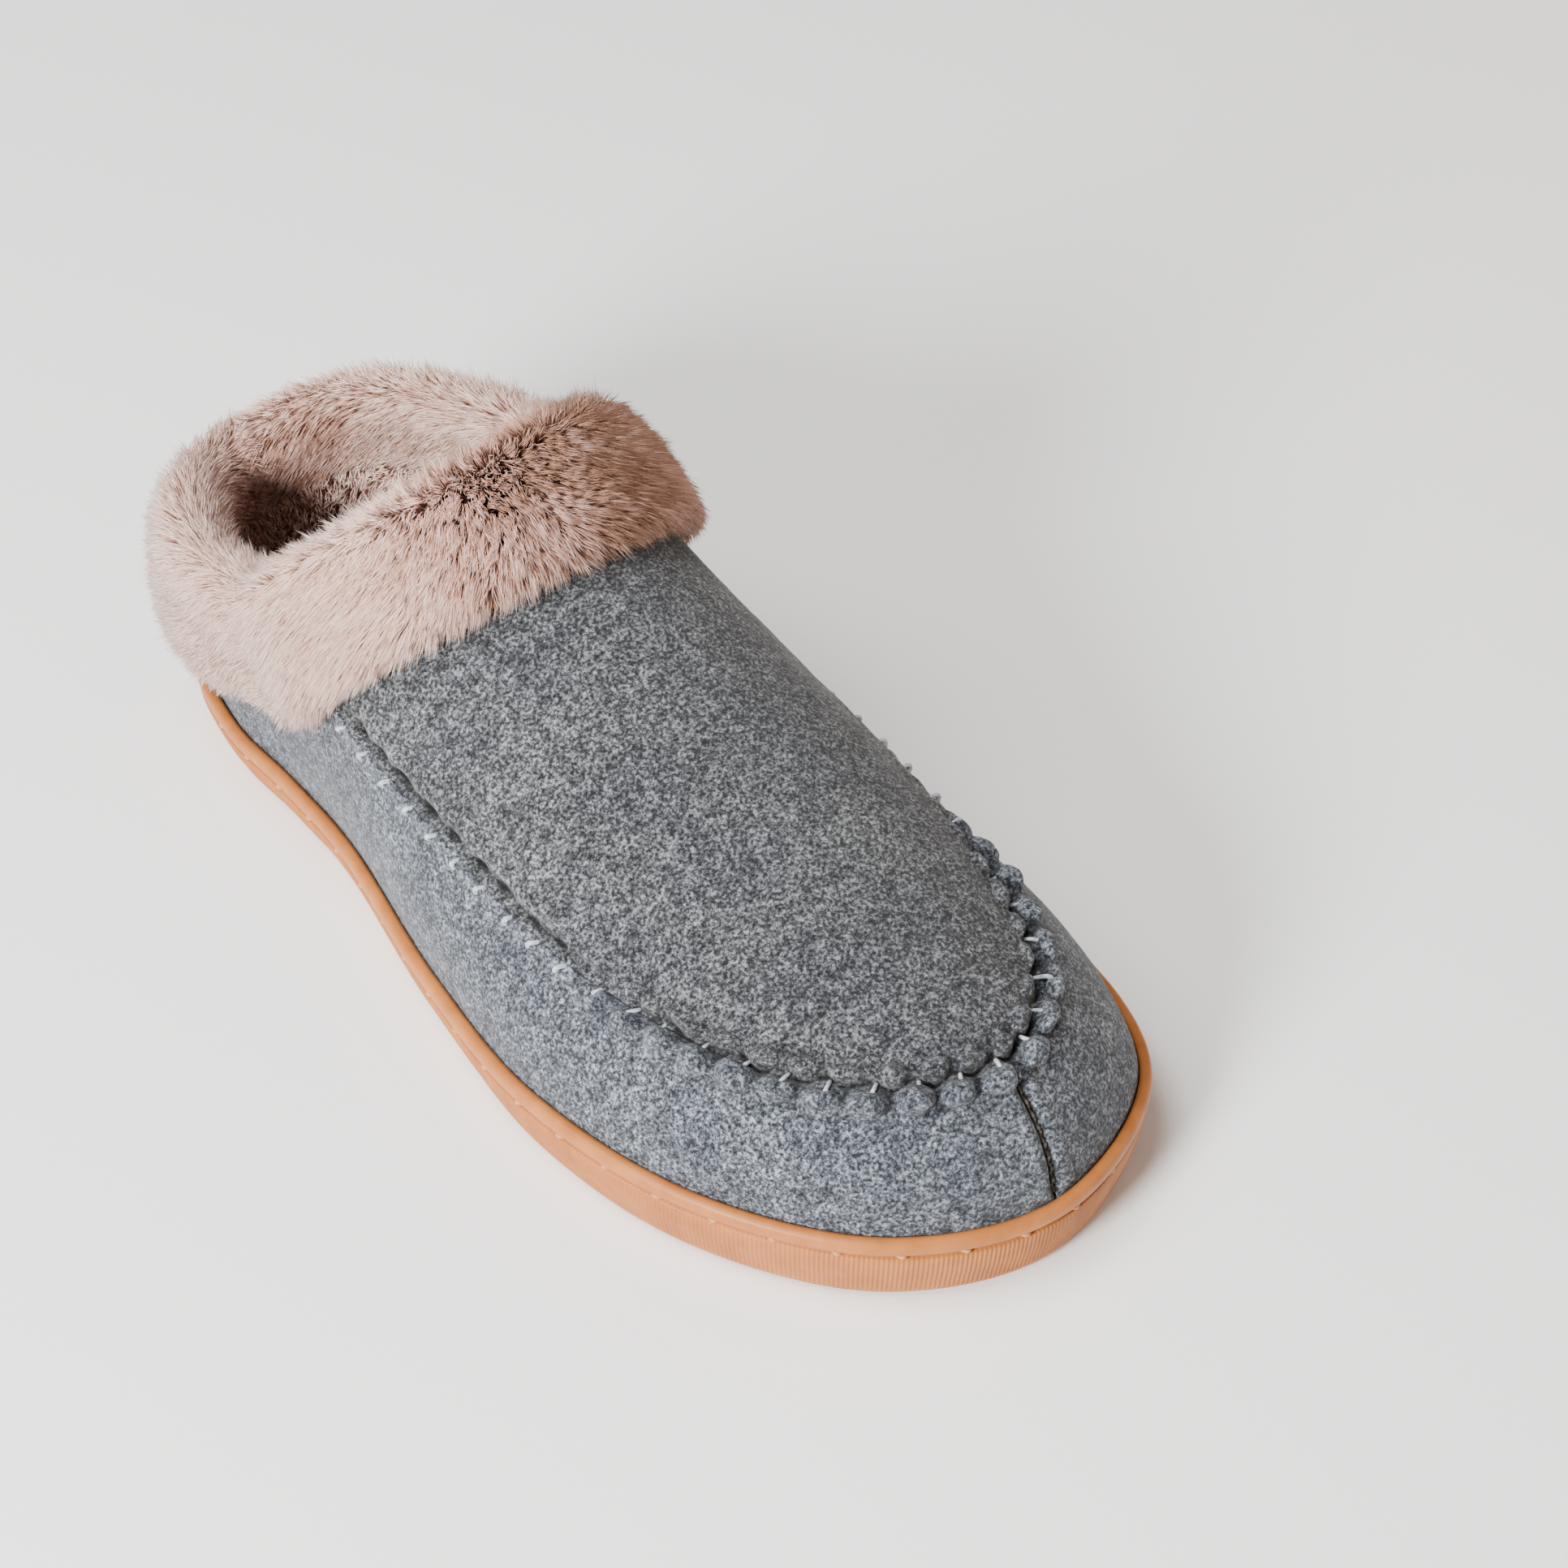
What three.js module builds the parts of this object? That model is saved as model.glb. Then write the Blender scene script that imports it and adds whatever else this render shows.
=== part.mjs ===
// Moccasin house slipper, right foot. Millimetres, Z up, toe toward -Y,
// lateral side toward -X. Every piece is built from two closed key curves
// (sole outline and upper top edge) plus the crown line over the instep.
import * as THREE from 'three';

// ---------- driving dimensions ----------
const LIP_HEEL = 15.0;        // sole wall height at the heel
const LIP_TOE = 19.0;         // sole wall height at the toe
const CUP_FLOOR = 6.0;        // solid sole thickness under the cup
const CUP_WALL = 2.6;         // sole wall thickness at the lip
const GAP = 0.3;              // clearance between neighbouring layers
const FELT = 2.6;             // felt thickness
const LINING_OUT = 4.6;       // depth of the lining's outer face below the felt face
const LINING_IN = 8.7;        // depth of the lining's inner face
const STIFF_OUT = 3.1;        // stiffener outer face depth
const STIFF_IN = 4.1;         // stiffener inner face depth
const FELT_FOOT = 8.5;        // height of the felt's lower edge inside the cup
const FILLER_TOP = 11.5;      // top of the foam filler in the cup
const BOARD_TOP = 13.1;       // top of the insole board
const FOAM_TOP = 18.4;        // top of the footbed foam
const LINER_TOP = 22.0;       // top of the plush sock liner
const CUFF = 12.0;            // cuff thickness outside the felt
const CUFF_FOAM = 5.0;        // padding thickness inside the cuff
const CUFF_DROP = 12.0;       // how far the cuff reaches down inside the mouth
const STITCHES = 38;          // whip stitches round the apron

// ---------- key curves, heel centre -> lateral -> toe -> medial ----------
const V3 = (x, y, z = 0) => new THREE.Vector3(x, y, z);

const outlineKeys = [
  V3(-3, 142.5), V3(-25, 132.5), V3(-35.5, 106), V3(-38, 80), V3(-42.5, 50), V3(-56.5, 2),
  V3(-64.5, -43), V3(-58.5, -88), V3(-36, -126), V3(1, -143), V3(42.5, -129.5), V3(60, -95),
  V3(58, -55), V3(47, -12), V3(39, 34), V3(38, 76), V3(37, 104), V3(25, 131)];

const topKeys = [
  V3(-3, 138, 66), V3(-24, 130, 65), V3(-35, 106, 65), V3(-39, 79, 71), V3(-44, 49, 61),
  V3(-49, 4, 54), V3(-49.5, -42, 47), V3(-40.5, -86, 45.5), V3(-23, -111.5, 46), V3(1, -122, 46.5),
  V3(21.5, -112, 48), V3(34.5, -87, 52), V3(41.5, -49.5, 57.5), V3(44, -10, 62.5), V3(43, 30, 71.5),
  V3(41, 68, 84), V3(37, 104, 78), V3(23, 129, 73)];

const crownKeys = [
  V3(1, -122, 46.5), V3(0, -110.5, 53.5), V3(-1, -85, 62.5), V3(-1, -48, 74.5), V3(0, -12, 86.5),
  V3(2, 22, 98), V3(4, 46, 105)];

const outline = new THREE.CatmullRomCurve3(outlineKeys, true, 'catmullrom', 0.5);
const topEdge = new THREE.CatmullRomCurve3(topKeys, true, 'catmullrom', 0.5);
const crown = new THREE.CatmullRomCurve3(crownKeys, false, 'catmullrom', 0.5);

const S_RIM = 3 / 9;          // station where the apron seam reaches the mouth
const BULGE = 4.0;            // outward swell of the side walls

// ---------- small helpers ----------
const clamp = (v, a, b) => Math.min(b, Math.max(a, v));
const mix = (a, b, t) => a + (b - a) * t;
const smooth = (t) => t * t * (3 - 2 * t);

// piecewise linear lookup through evenly spaced values
function ramp(values, t) {
  const x = clamp(t, 0, 1) * (values.length - 1);
  const i = Math.min(values.length - 2, Math.floor(x));
  return mix(values[i], values[i + 1], x - i);
}

// ---------- sole outline ----------
function outlineNormal(u) {
  const t = outline.getTangent(((u % 1) + 1) % 1);
  return V3(-t.y, t.x, 0).normalize().multiplyScalar(-1);
}

const lipHeight = (y) => mix(LIP_HEEL, LIP_TOE, smooth(clamp((60 - y) / 140, 0, 1)));

function insetPoint(u, d, z) {
  const p = outline.getPoint(((u % 1) + 1) % 1);
  const n = outlineNormal(u);
  return V3(p.x - n.x * d, p.y - n.y * d, z);
}

// ---------- skin of the upper ----------
// side: -1 lateral, +1 medial.  s: 0 heel centre .. 1 toe centre.
const loopU = (side, s) => (side < 0 ? s * 0.5 : 1 - s * 0.5);

function wallPoint(side, s, t) {
  const u = loopU(side, s);
  const foot = insetPoint(u, CUP_WALL + GAP, 0);
  foot.z = lipHeight(foot.y);
  if (t < 0) {
    foot.z = mix(foot.z, FELT_FOOT, -t);
    return foot;
  }
  const top = topEdge.getPoint(((u % 1) + 1) % 1);
  const n = outlineNormal(u);
  const swell = BULGE * 4 * t * (1 - t) * mix(0.55, 1, smooth(s));
  const p = foot.clone().lerp(top, t);
  p.x += n.x * swell;
  p.y += n.y * swell;
  p.z += swell * 0.35 * smooth(s);
  return p;
}

function apronPoint(s, w) {
  const left = topEdge.getPoint(s * 0.5);
  const right = topEdge.getPoint(1 - s * 0.5);
  const ridge = crown.getPoint(clamp((1 - s) / (1 - S_RIM), 0, 1));
  const mid = left.clone().add(right).multiplyScalar(0.5);
  const full = mix(0.62, 0.8, smooth(clamp((s - S_RIM) / 0.35, 0, 1)));
  const arch = Math.pow(Math.max(0, 1 - (2 * w - 1) ** 2), full);
  const lift = ridge.sub(mid).multiplyScalar(arch);
  return left.lerp(right, w).add(lift);
}

// c: 0 lateral foot, 1 lateral seam, 2 crown, 3 medial seam, 4 medial foot
function skin(s, c) {
  if (c <= 1) return wallPoint(-1, s, c);
  if (c >= 3) return wallPoint(1, s, 4 - c);
  return apronPoint(s, (c - 1) / 2);
}

function rawNormal(s, c, ds, dc) {
  const s0 = clamp(s - ds, 0, 1);
  const s1 = clamp(s + ds, 0, 1);
  const along = skin(s1, c).sub(skin(s0, c));
  const across = skin(s, c + dc).sub(skin(s, c - dc));
  const n = along.cross(across);
  return n.lengthSq() > 1e-12 ? n.normalize() : V3(0, 0, 1);
}

// outward normal, shared across the apron seam so offset layers stay apart
function normal(s, c) {
  const u = loopU(c < 2 ? -1 : 1, s);
  if (c <= 0.02 || c >= 3.98) return outlineNormal(u);
  const sq = Math.min(s, 0.985);
  const e = 0.03;
  const seam = c < 2 ? 1 : 3;
  const far = Math.abs(c - seam);
  if (sq < S_RIM + 1e-6) {
    const cc = c < 2 ? Math.min(c, 1 - e) : Math.max(c, 3 + e);
    return blendFoot(rawNormal(sq, cc, 0.01, e * 0.9), c, u);
  }
  if (far < 0.18) {
    const inner = rawNormal(sq, seam + (c < 2 ? 0.18 : -0.18), 0.01, e);
    const outer = rawNormal(sq, seam + (c < 2 ? -0.18 : 0.18), 0.01, e);
    const k = 0.5 + 0.5 * (c - seam) / 0.18;
    const lo = c < 2 ? outer : inner;
    const hi = c < 2 ? inner : outer;
    return lo.lerp(hi, k).normalize();
  }
  return blendFoot(rawNormal(sq, clamp(c, e, 4 - e), 0.01, e * 0.9), c, u);
}

function blendFoot(n, c, u) {
  const t = c < 2 ? c : 4 - c;
  if (t > 0.3) return n;
  return outlineNormal(u).lerp(n, smooth(clamp(t / 0.3, 0, 1))).normalize();
}

function offsetSkin(s, c, depth) {
  const p = skin(s, c);
  return p.addScaledVector(normal(s, c), -depth);
}

// ---------- mesh builders ----------
class Builder {
  constructor() {
    this.points = [];
    this.index = [];
    this.lookup = new Map();
  }

  vertex(p) {
    const key = [p.x, p.y, p.z].map((v) => Math.round(v * 500)).join(',');
    if (!this.lookup.has(key)) {
      this.lookup.set(key, this.points.length);
      this.points.push(p.clone());
    }
    return this.lookup.get(key);
  }

  tri(a, b, c) {
    if (a !== b && b !== c && a !== c) this.index.push(a, b, c);
  }

  quad(a, b, c, d) {
    this.tri(a, b, c);
    this.tri(a, c, d);
  }

  geometry() {
    let volume = 0;
    for (let i = 0; i < this.index.length; i += 3) {
      const [a, b, c] = [0, 1, 2].map((k) => this.points[this.index[i + k]]);
      volume += a.dot(b.clone().cross(c));
    }
    const order = volume < 0 ? this.index.slice().reverse() : this.index;
    const g = new THREE.BufferGeometry();
    const flat = this.points.flatMap((p) => [p.x, p.y, p.z]);
    g.setAttribute('position', new THREE.Float32BufferAttribute(flat, 3));
    g.setIndex(order);
    g.computeVertexNormals();
    return g;
  }
}

// closed solid between two grids of points; options leave out the first row's
// edge where the sheet folds onto itself
function slab(outer, inner, folded = false) {
  const b = new Builder();
  const o = outer.map((row) => row.map((p) => b.vertex(p)));
  const n = inner.map((row) => row.map((p) => b.vertex(p)));
  const rows = o.length - 1;
  const cols = o[0].length - 1;
  for (let i = 0; i < rows; i += 1) {
    for (let j = 0; j < cols; j += 1) {
      b.quad(o[i][j], o[i + 1][j], o[i + 1][j + 1], o[i][j + 1]);
      b.quad(n[i][j], n[i][j + 1], n[i + 1][j + 1], n[i + 1][j]);
    }
    b.quad(o[i][0], n[i][0], n[i + 1][0], o[i + 1][0]);
    b.quad(o[i][cols], o[i + 1][cols], n[i + 1][cols], n[i][cols]);
  }
  for (let j = 0; j < cols; j += 1) {
    if (!folded) b.quad(o[0][j], o[0][j + 1], n[0][j + 1], n[0][j]);
    b.quad(o[rows][j], n[rows][j], n[rows][j + 1], o[rows][j + 1]);
  }
  return b.geometry();
}

// triangles of a flat polygon, wound the same way as its outline
function capTriangles(flat) {
  const shape = flat.map(([x, y]) => new THREE.Vector2(x, y));
  const sign = Math.sign(THREE.ShapeUtils.area(shape));
  return THREE.ShapeUtils.triangulateShape(shape, []).map((t) => {
    const area = THREE.ShapeUtils.area(t.map((k) => shape[k]));
    return Math.sign(area) === sign ? t : [t[0], t[2], t[1]];
  });
}

// side walls between loops of points; loops[k] are closed and equally long
function sweep(loops) {
  const b = new Builder();
  const ids = loops.map((r) => r.map((p) => b.vertex(p)));
  const count = ids[0].length;
  for (let k = 0; k < ids.length - 1; k += 1) {
    for (let i = 0; i < count; i += 1) {
      const j = (i + 1) % count;
      b.quad(ids[k][i], ids[k][j], ids[k + 1][j], ids[k + 1][i]);
    }
  }
  return { b, ids, count };
}

// solid swept through loops and capped at both ends
function cappedSweep(loops, flatFirst, flatLast) {
  const { b, ids } = sweep(loops);
  const last = ids[ids.length - 1];
  for (const [x, y, z] of capTriangles(flatFirst)) b.tri(ids[0][x], ids[0][z], ids[0][y]);
  for (const [x, y, z] of capTriangles(flatLast)) b.tri(last[x], last[y], last[z]);
  return b.geometry();
}

// solid from level rings stacked in order
function ringSolid(rings) {
  const flat = (ring) => ring.map((p) => [p.x, p.y]);
  return cappedSweep(rings, flat(rings[0]), flat(rings[rings.length - 1]));
}

// round thread along a list of points
function thread(points, radius, closed, sides = 5) {
  const n = points.length;
  const rings = points.map((p, i) => {
    const prev = points[closed ? (i + n - 1) % n : Math.max(0, i - 1)];
    const next = points[closed ? (i + 1) % n : Math.min(n - 1, i + 1)];
    const t = next.clone().sub(prev).normalize();
    const ref = Math.abs(t.z) > 0.8 ? V3(1, 0, 0) : V3(0, 0, 1);
    const a = ref.cross(t).normalize();
    const c = t.clone().cross(a);
    const ring = [];
    for (let k = 0; k < sides; k += 1) {
      const f = (k / sides) * Math.PI * 2;
      const q = p.clone().addScaledVector(a, Math.cos(f) * radius);
      ring.push(q.addScaledVector(c, Math.sin(f) * radius));
    }
    return ring;
  });
  if (closed) rings.push(rings[0]);
  const { b, ids, count } = sweep(rings);
  if (!closed) {
    const last = ids[ids.length - 1];
    for (let k = 1; k < count - 1; k += 1) {
      b.tri(ids[0][0], ids[0][k + 1], ids[0][k]);
      b.tri(last[0], last[k], last[k + 1]);
    }
  }
  return b.geometry();
}

const range = (n, a, b) => Array.from({ length: n + 1 }, (_, i) => mix(a, b, i / n));

// ---------- sole unit ----------
const RING = 80;

// wall undercut toward the floor, from heel to toe
const undercut = (y) => ramp([3, 3, 3.6, 2.4, 2], (142 - y) / 285);

function ring(depthOf, heightOf) {
  return range(RING, 0, 1).slice(0, RING).map((u) => {
    const y = outline.getPoint(u).y;
    return insetPoint(u, depthOf(y), heightOf(y));
  });
}

function outsole() {
  const rows = [
    [(y) => undercut(y) + 3.0, () => 0],
    [(y) => undercut(y) + 1.0, () => 0.9],
    [(y) => undercut(y), () => 3.0],
    [(y) => undercut(y) * 0.35, (y) => lipHeight(y) * 0.45],
    [() => 0.2, (y) => lipHeight(y) - 5.2],
    [() => 0.15, (y) => lipHeight(y) - 4.6],
    [() => 1.35, (y) => lipHeight(y) - 4.2],
    [() => 1.35, (y) => lipHeight(y) - 3.0],
    [() => 0.0, (y) => lipHeight(y) - 2.6],
    [() => 0.0, (y) => lipHeight(y) - 0.8],
    [() => 0.7, (y) => lipHeight(y)],
    [() => CUP_WALL, (y) => lipHeight(y)],
    [() => CUP_WALL, () => CUP_FLOOR]];
  return ringSolid(rows.map(([d, z]) => ring(d, z)));
}

// thread lying in the groove of the sole wall
function soleThread() {
  const pts = ring(() => 0.62, (y) => lipHeight(y) - 3.6);
  return thread(pts, 0.38, true);
}

function soleInsert(depth, z0, z1) {
  return ringSolid([ring(() => depth, () => z0), ring(() => depth, () => z1)]);
}

const FEET = CUP_WALL + GAP + FELT;      // inner face of the felt inside the cup
const LASTED = CUP_WALL + GAP + LINING_IN;

// plush insole: slightly domed edge
function sockLiner() {
  const d = LASTED + 1.8;
  return ringSolid([
    ring(() => d, () => FOAM_TOP + GAP), ring(() => d, () => LINER_TOP - 1.2),
    ring(() => d + 1.4, () => LINER_TOP)]);
}

function lastingThread() {
  return thread(ring(() => FEET + 0.75, () => 12.3), 0.35, true);
}

// ---------- felt pieces ----------
const SEAM_GAP = 0.012;

function sidePanel(side) {
  const tRows = [-1, -0.5, 0, 0.2, 0.4, 0.6, 0.8, 0.92];
  const sRows = [0.002].concat(range(34, 0.002, 0.9985).slice(1));
  const grid = (depth) => sRows.map((s) => [...tRows, 1 - SEAM_GAP].map((t) => {
    if (t < 0) {
      const p = wallPoint(side, s, t);
      return p.addScaledVector(outlineNormal(loopU(side, s)), -depth);
    }
    return offsetSkin(s, side < 0 ? t : 4 - t, depth);
  }));
  return slab(grid(0), grid(FELT));
}

function apron() {
  const sRows = [0.992, 0.984, 0.97, ...range(20, 0.945, S_RIM)];
  const cols = [0.007, 0.04, 0.09, 0.16, 0.25, 0.34, 0.42, 0.5];
  const all = cols.concat(cols.slice(0, -1).reverse().map((w) => 1 - w));
  const grid = (depth) => sRows.map((s) => all.map((w) => offsetSkin(s, 1 + 2 * w, depth)));
  return slab(grid(0), grid(FELT));
}

// ---------- stiffeners and linings ----------
const across = (rows) => rows.concat(rows.slice(0, -1).reverse().map((c) => 4 - c));

// dome that closes on itself at the toe centre
function toeDome(sRows, cRows, depthOut, depthIn, floor) {
  const cols = across(cRows);
  const grid = (depth) => sRows.map((s, i) => {
    const row = cols.map((c) => {
      const p = offsetSkin(s, c, depth);
      p.z = Math.max(p.z, floor);
      return p;
    });
    if (i > 0) return row;
    return row.map((p, j) => p.clone().add(row[row.length - 1 - j]).multiplyScalar(0.5));
  });
  return slab(grid(depthOut), grid(depthIn), true);
}

function vampLining() {
  const rows = [0.999, 0.985, 0.96, ...range(15, 0.925, 0.394)];
  return toeDome(rows, [0, 0.3, 0.6, 0.85, 1, 1.2, 1.5, 2], LINING_OUT, LINING_IN, BOARD_TOP + 0.4);
}

function toeStiffener() {
  const rows = [0.999, 0.985, 0.96, ...range(4, 0.92, 0.8)];
  return toeDome(rows, [0.08, 0.3, 0.6, 0.85, 1, 1.2, 1.5, 2], STIFF_OUT, STIFF_IN, 0);
}

// sheet round the heel between depthOut and depthIn
function heelSheet(reach, tRows, topOf, depthOut, depthIn, count, floor) {
  const stations = range(count, -reach, reach);
  const at = (k, q, depth) => {
    const s = Math.abs(k);
    const t = q * topOf(s / reach);
    const c = k < 0 ? t : 4 - t;
    const p = offsetSkin(s, c, depth);
    p.z = Math.max(p.z, floor);
    return p;
  };
  const grid = (depth) => stations.map((k) => tRows.map((q) => at(k, q, depth)));
  return slab(grid(depthOut), grid(depthIn));
}

function quarterLining() {
  const top = (k) => ramp([0.71, 0.72, 0.735, 0.755, 0.79, 0.83, 0.93], k);
  return heelSheet(0.39, range(5, 0, 1), top, LINING_OUT, LINING_IN, 28, BOARD_TOP + 0.4);
}

function heelCounter() {
  return heelSheet(0.24, [0.08, 0.31, 0.54, 0.77, 1], () => 0.74, STIFF_OUT, STIFF_IN, 16, 0);
}

// ---------- cuffs ----------
// A cuff station joins a lower point and a rim point, both in skin coordinates.
function cuffFrame(low, rim) {
  const at = (q) => skin(mix(low[0], rim[0], q), mix(low[1], rim[1], q));
  const len = range(6, 0, 1).reduce((sum, q, i, a) => (
    i === 0 ? 0 : sum + at(q).distanceTo(at(a[i - 1]))), 0);
  const nAt = (q) => normal(mix(low[0], rim[0], q), mix(low[1], rim[1], q));
  const down = at(0).sub(at(0.08)).normalize();
  const up = at(1).sub(at(0.92)).normalize();
  return (out, dist) => {
    const q = clamp(dist / len, 0, 1);
    const p = at(q);
    if (dist < 0) p.addScaledVector(down, -dist);
    if (dist > len) p.addScaledVector(up, dist - len);
    return p.addScaledVector(nAt(q), out);
  };
}

function cuffLength(low, rim) {
  const at = (q) => skin(mix(low[0], rim[0], q), mix(low[1], rim[1], q));
  return range(6, 0, 1).reduce((sum, q, i, a) => (
    i === 0 ? 0 : sum + at(q).distanceTo(at(a[i - 1]))), 0);
}

// section (out, along) of the folded fur band for a band height h
function cuffSection(h, fat) {
  const c = CUFF * fat;
  const f = CUFF_FOAM * fat + 1.1;
  return [
    [0.4, 0], [0.4, 2.4], [f, 2.8], [f, h * 0.27], [f, h * 0.5], [f, h * 0.75], [f, h - 2.0],
    [3.2, h + 0.6], [-3.3, h + 0.6], [-3.3, h - 4], [-3.3, h - 8], [-3.3, h - CUFF_DROP],
    [-7.6, h - CUFF_DROP], [-8.4, h - 4], [-7.2, h + 3], [-3, h + 6.5],
    [2.5, h + 7.5], [c * 0.72, h + 5], [c, h - 1], [c * 1.04, h * 0.62], [c, h * 0.34],
    [c * 0.92, h * 0.12], [c * 0.74, -1.4], [c * 0.42, -3.2], [1.8, -2.4]];
}

function padSection(h, fat) {
  const f = CUFF_FOAM * fat + 0.5;
  return [
    [0.6, 3.2], [0.6, h * 0.27], [0.6, h * 0.5], [0.6, h * 0.75], [0.6, h - 2.4],
    [f, h - 2.4], [f, h * 0.75], [f, h * 0.5], [f, h * 0.27], [f, 3.2]];
}

function band(stations, sectionOf) {
  const loops = stations.map(([low, rim, fat]) => {
    const place = cuffFrame(low, rim);
    return sectionOf(cuffLength(low, rim), fat).map(([out, along]) => place(out, along));
  });
  return cappedSweep(loops, sectionOf(40, 1), sectionOf(40, 1));
}

// path through skin-coordinate keys, smooth in between
function keyPath(keys) {
  const curve = new THREE.CatmullRomCurve3(keys.map(([s, c]) => V3(s, c, 0)), false,
    'catmullrom', 0.5);
  return (t) => {
    const p = curve.getPoint(clamp(t, 0, 1));
    return [p.x, p.y];
  };
}

const BACK_LOW = 0.34;                // height share of the back cuff's lower edge
const CORNER = [0.415, 0.78];         // lateral lower corner of the cuffs
const NOTCH = [0.30, 1];              // lateral notch in the mouth rim
const CORNER_MED = [0.415, 3.22];
const NOTCH_MED = [0.30, 3];

const frontLow = keyPath([
  CORNER, [0.436, 0.94], [0.446, 1.10], [0.454, 1.40], [0.457, 1.72], [0.456, 2.0],
  [0.451, 2.3], [0.445, 2.62], [0.437, 2.88], [0.430, 3.05], CORNER_MED]);
const frontRim = keyPath([
  NOTCH, [0.325, 1.0], [S_RIM, 1.10], [S_RIM, 1.34], [S_RIM, 1.68], [S_RIM, 2.0],
  [S_RIM, 2.32], [S_RIM, 2.66], [S_RIM, 2.90], [0.325, 3.0], NOTCH_MED]);

// cuffs grow thinner where they meet at the side seams
const endTaper = (t) => mix(0.7, 1, smooth(clamp(Math.min(t, 1 - t) / 0.16, 0, 1)));

function frontStations(count, trim) {
  return range(count, trim, 1 - trim).map((t) => {
    const low = frontLow(t);
    const rim = frontRim(t);
    if (rim[1] > 1.001 && rim[1] < 2.999) rim[0] = S_RIM;
    return [low, rim, endTaper(t)];
  });
}

function backStations(count, trim) {
  return range(count, -1 + trim, 1 - trim).map((k) => {
    const a = Math.abs(k);
    const sLow = mix(0, CORNER[0], a) - 0.004 * a;
    const sRim = mix(0, NOTCH[0], a) - 0.004 * a;
    const tLow = mix(BACK_LOW, CORNER[1], Math.pow(a, 3.2));
    const low = k < 0 ? [sLow, tLow] : [sLow, 4 - tLow];
    const rim = k < 0 ? [sRim, 1] : [sRim, 3];
    return [low, rim, 0.75];
  });
}

// thread closing the side seam between the two cuffs
function cuffSeamThread(side) {
  const low = side < 0 ? CORNER : CORNER_MED;
  const rim = side < 0 ? NOTCH : NOTCH_MED;
  const place = cuffFrame(low, rim);
  const h = cuffLength(low, rim);
  const out = CUFF * 0.75 * 1.04 + 0.9;
  return thread(range(8, 0.08, 0.92).map((q) => place(out, q * h)), 0.5, false);
}

// ---------- seams of the upper ----------
function apronThread() {
  const from = 0.466;
  const count = STITCHES * 4;
  const pts = range(count, -1, 1).map((k, i) => {
    const s = mix(1, from, Math.abs(k));
    const seam = k < 0 ? 1 : 3;
    const inward = k < 0 ? 1 : -1;
    const phase = [0, 1, 0, -1][i % 4];
    const taper = clamp((1 - s) / 0.06, 0.35, 1);
    const swing = phase > 0 ? 0.05 * taper : 0.07;
    const c = seam + inward * phase * swing;
    return offsetSkin(Math.min(s, 0.985), c, phase === 0 ? -1.7 : -1.25);
  });
  return thread(pts.filter((p, i) => i === 0 || p.distanceTo(pts[i - 1]) > 0.8), 0.6, false);
}

function toeThread() {
  const pts = range(6, 0.16, 0.86).map((t) => offsetSkin(0.9999, t, -0.95));
  return thread(pts, 0.45, false);
}

function backThread() {
  const pts = range(4, 0.05, 0.15).map((t) => offsetSkin(0, t, -0.9));
  return thread(pts, 0.4, false);
}

// ---------- assembly ----------
const looks = {
  felt: [0x83868b, 0.95], feltApron: [0x7b7e83, 0.95], fur: [0xd1bab3, 0.95],
  lining: [0xa8897a, 0.95], rubber: [0xd79a66, 0.5], thread: [0x54575c, 0.8],
  tanThread: [0xc98c5a, 0.8], foam: [0xe9e4d8, 0.9], board: [0xb9a184, 0.85],
  stiff: [0xd9d6cf, 0.7], plush: [0xb99f92, 0.95]};

const pieces = [
  ['outsole', outsole, 'rubber'],
  ['sole_stitch_thread', soleThread, 'tanThread'],
  ['midsole_filler', () => soleInsert(FEET + GAP, CUP_FLOOR + GAP, FILLER_TOP), 'foam'],
  ['insole_board', () => soleInsert(FEET + 1.5, FILLER_TOP + GAP, BOARD_TOP), 'board'],
  ['lasting_seam_thread', lastingThread, 'thread'],
  ['footbed_foam', () => soleInsert(LASTED + 0.9, BOARD_TOP + 0.4, FOAM_TOP), 'foam'],
  ['sock_liner', sockLiner, 'plush'],
  ['side_panel_lateral', () => sidePanel(-1), 'felt'],
  ['side_panel_medial', () => sidePanel(1), 'felt'],
  ['apron_panel', apron, 'feltApron'],
  ['toe_seam_thread', toeThread, 'thread'],
  ['back_seam_thread', backThread, 'thread'],
  ['apron_seam_thread', apronThread, 'thread'],
  ['toe_stiffener', toeStiffener, 'stiff'],
  ['heel_counter', heelCounter, 'stiff'],
  ['vamp_lining', vampLining, 'lining'],
  ['quarter_lining', quarterLining, 'lining'],
  ['collar_front_fur', () => band(frontStations(28, 0.012), cuffSection), 'fur'],
  ['collar_front_foam', () => band(frontStations(28, 0.012).slice(1, -1), padSection), 'foam'],
  ['collar_back_fur', () => band(backStations(30, 0.012), cuffSection), 'fur'],
  ['collar_back_foam', () => band(backStations(30, 0.012).slice(1, -1), padSection), 'foam'],
  ['collar_seam_thread_lateral', () => cuffSeamThread(-1), 'thread'],
  ['collar_seam_thread_medial', () => cuffSeamThread(1), 'thread']];

const group = new THREE.Group();
for (const [name, make, look] of pieces) {
  const [color, roughness] = looks[look];
  const material = new THREE.MeshStandardMaterial({ color, roughness, metalness: 0 });
  const mesh = new THREE.Mesh(make(), material);
  mesh.name = name;
  group.add(mesh);
}

// origin at the bottom centre of the whole slipper
const box = new THREE.Box3().setFromObject(group);
const centre = box.getCenter(V3(0, 0));
for (const mesh of group.children) {
  mesh.geometry.translate(-centre.x, -centre.y, -box.min.z);
}

export default group;
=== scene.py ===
"""Looks of the fluffy house slipper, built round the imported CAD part.

Shapes are worked out in millimetres in the drawing frame of the part (heel toward +Y, toe toward -Y,
lateral side toward -X) and written in metres in the row frame.
"""

import math

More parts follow.
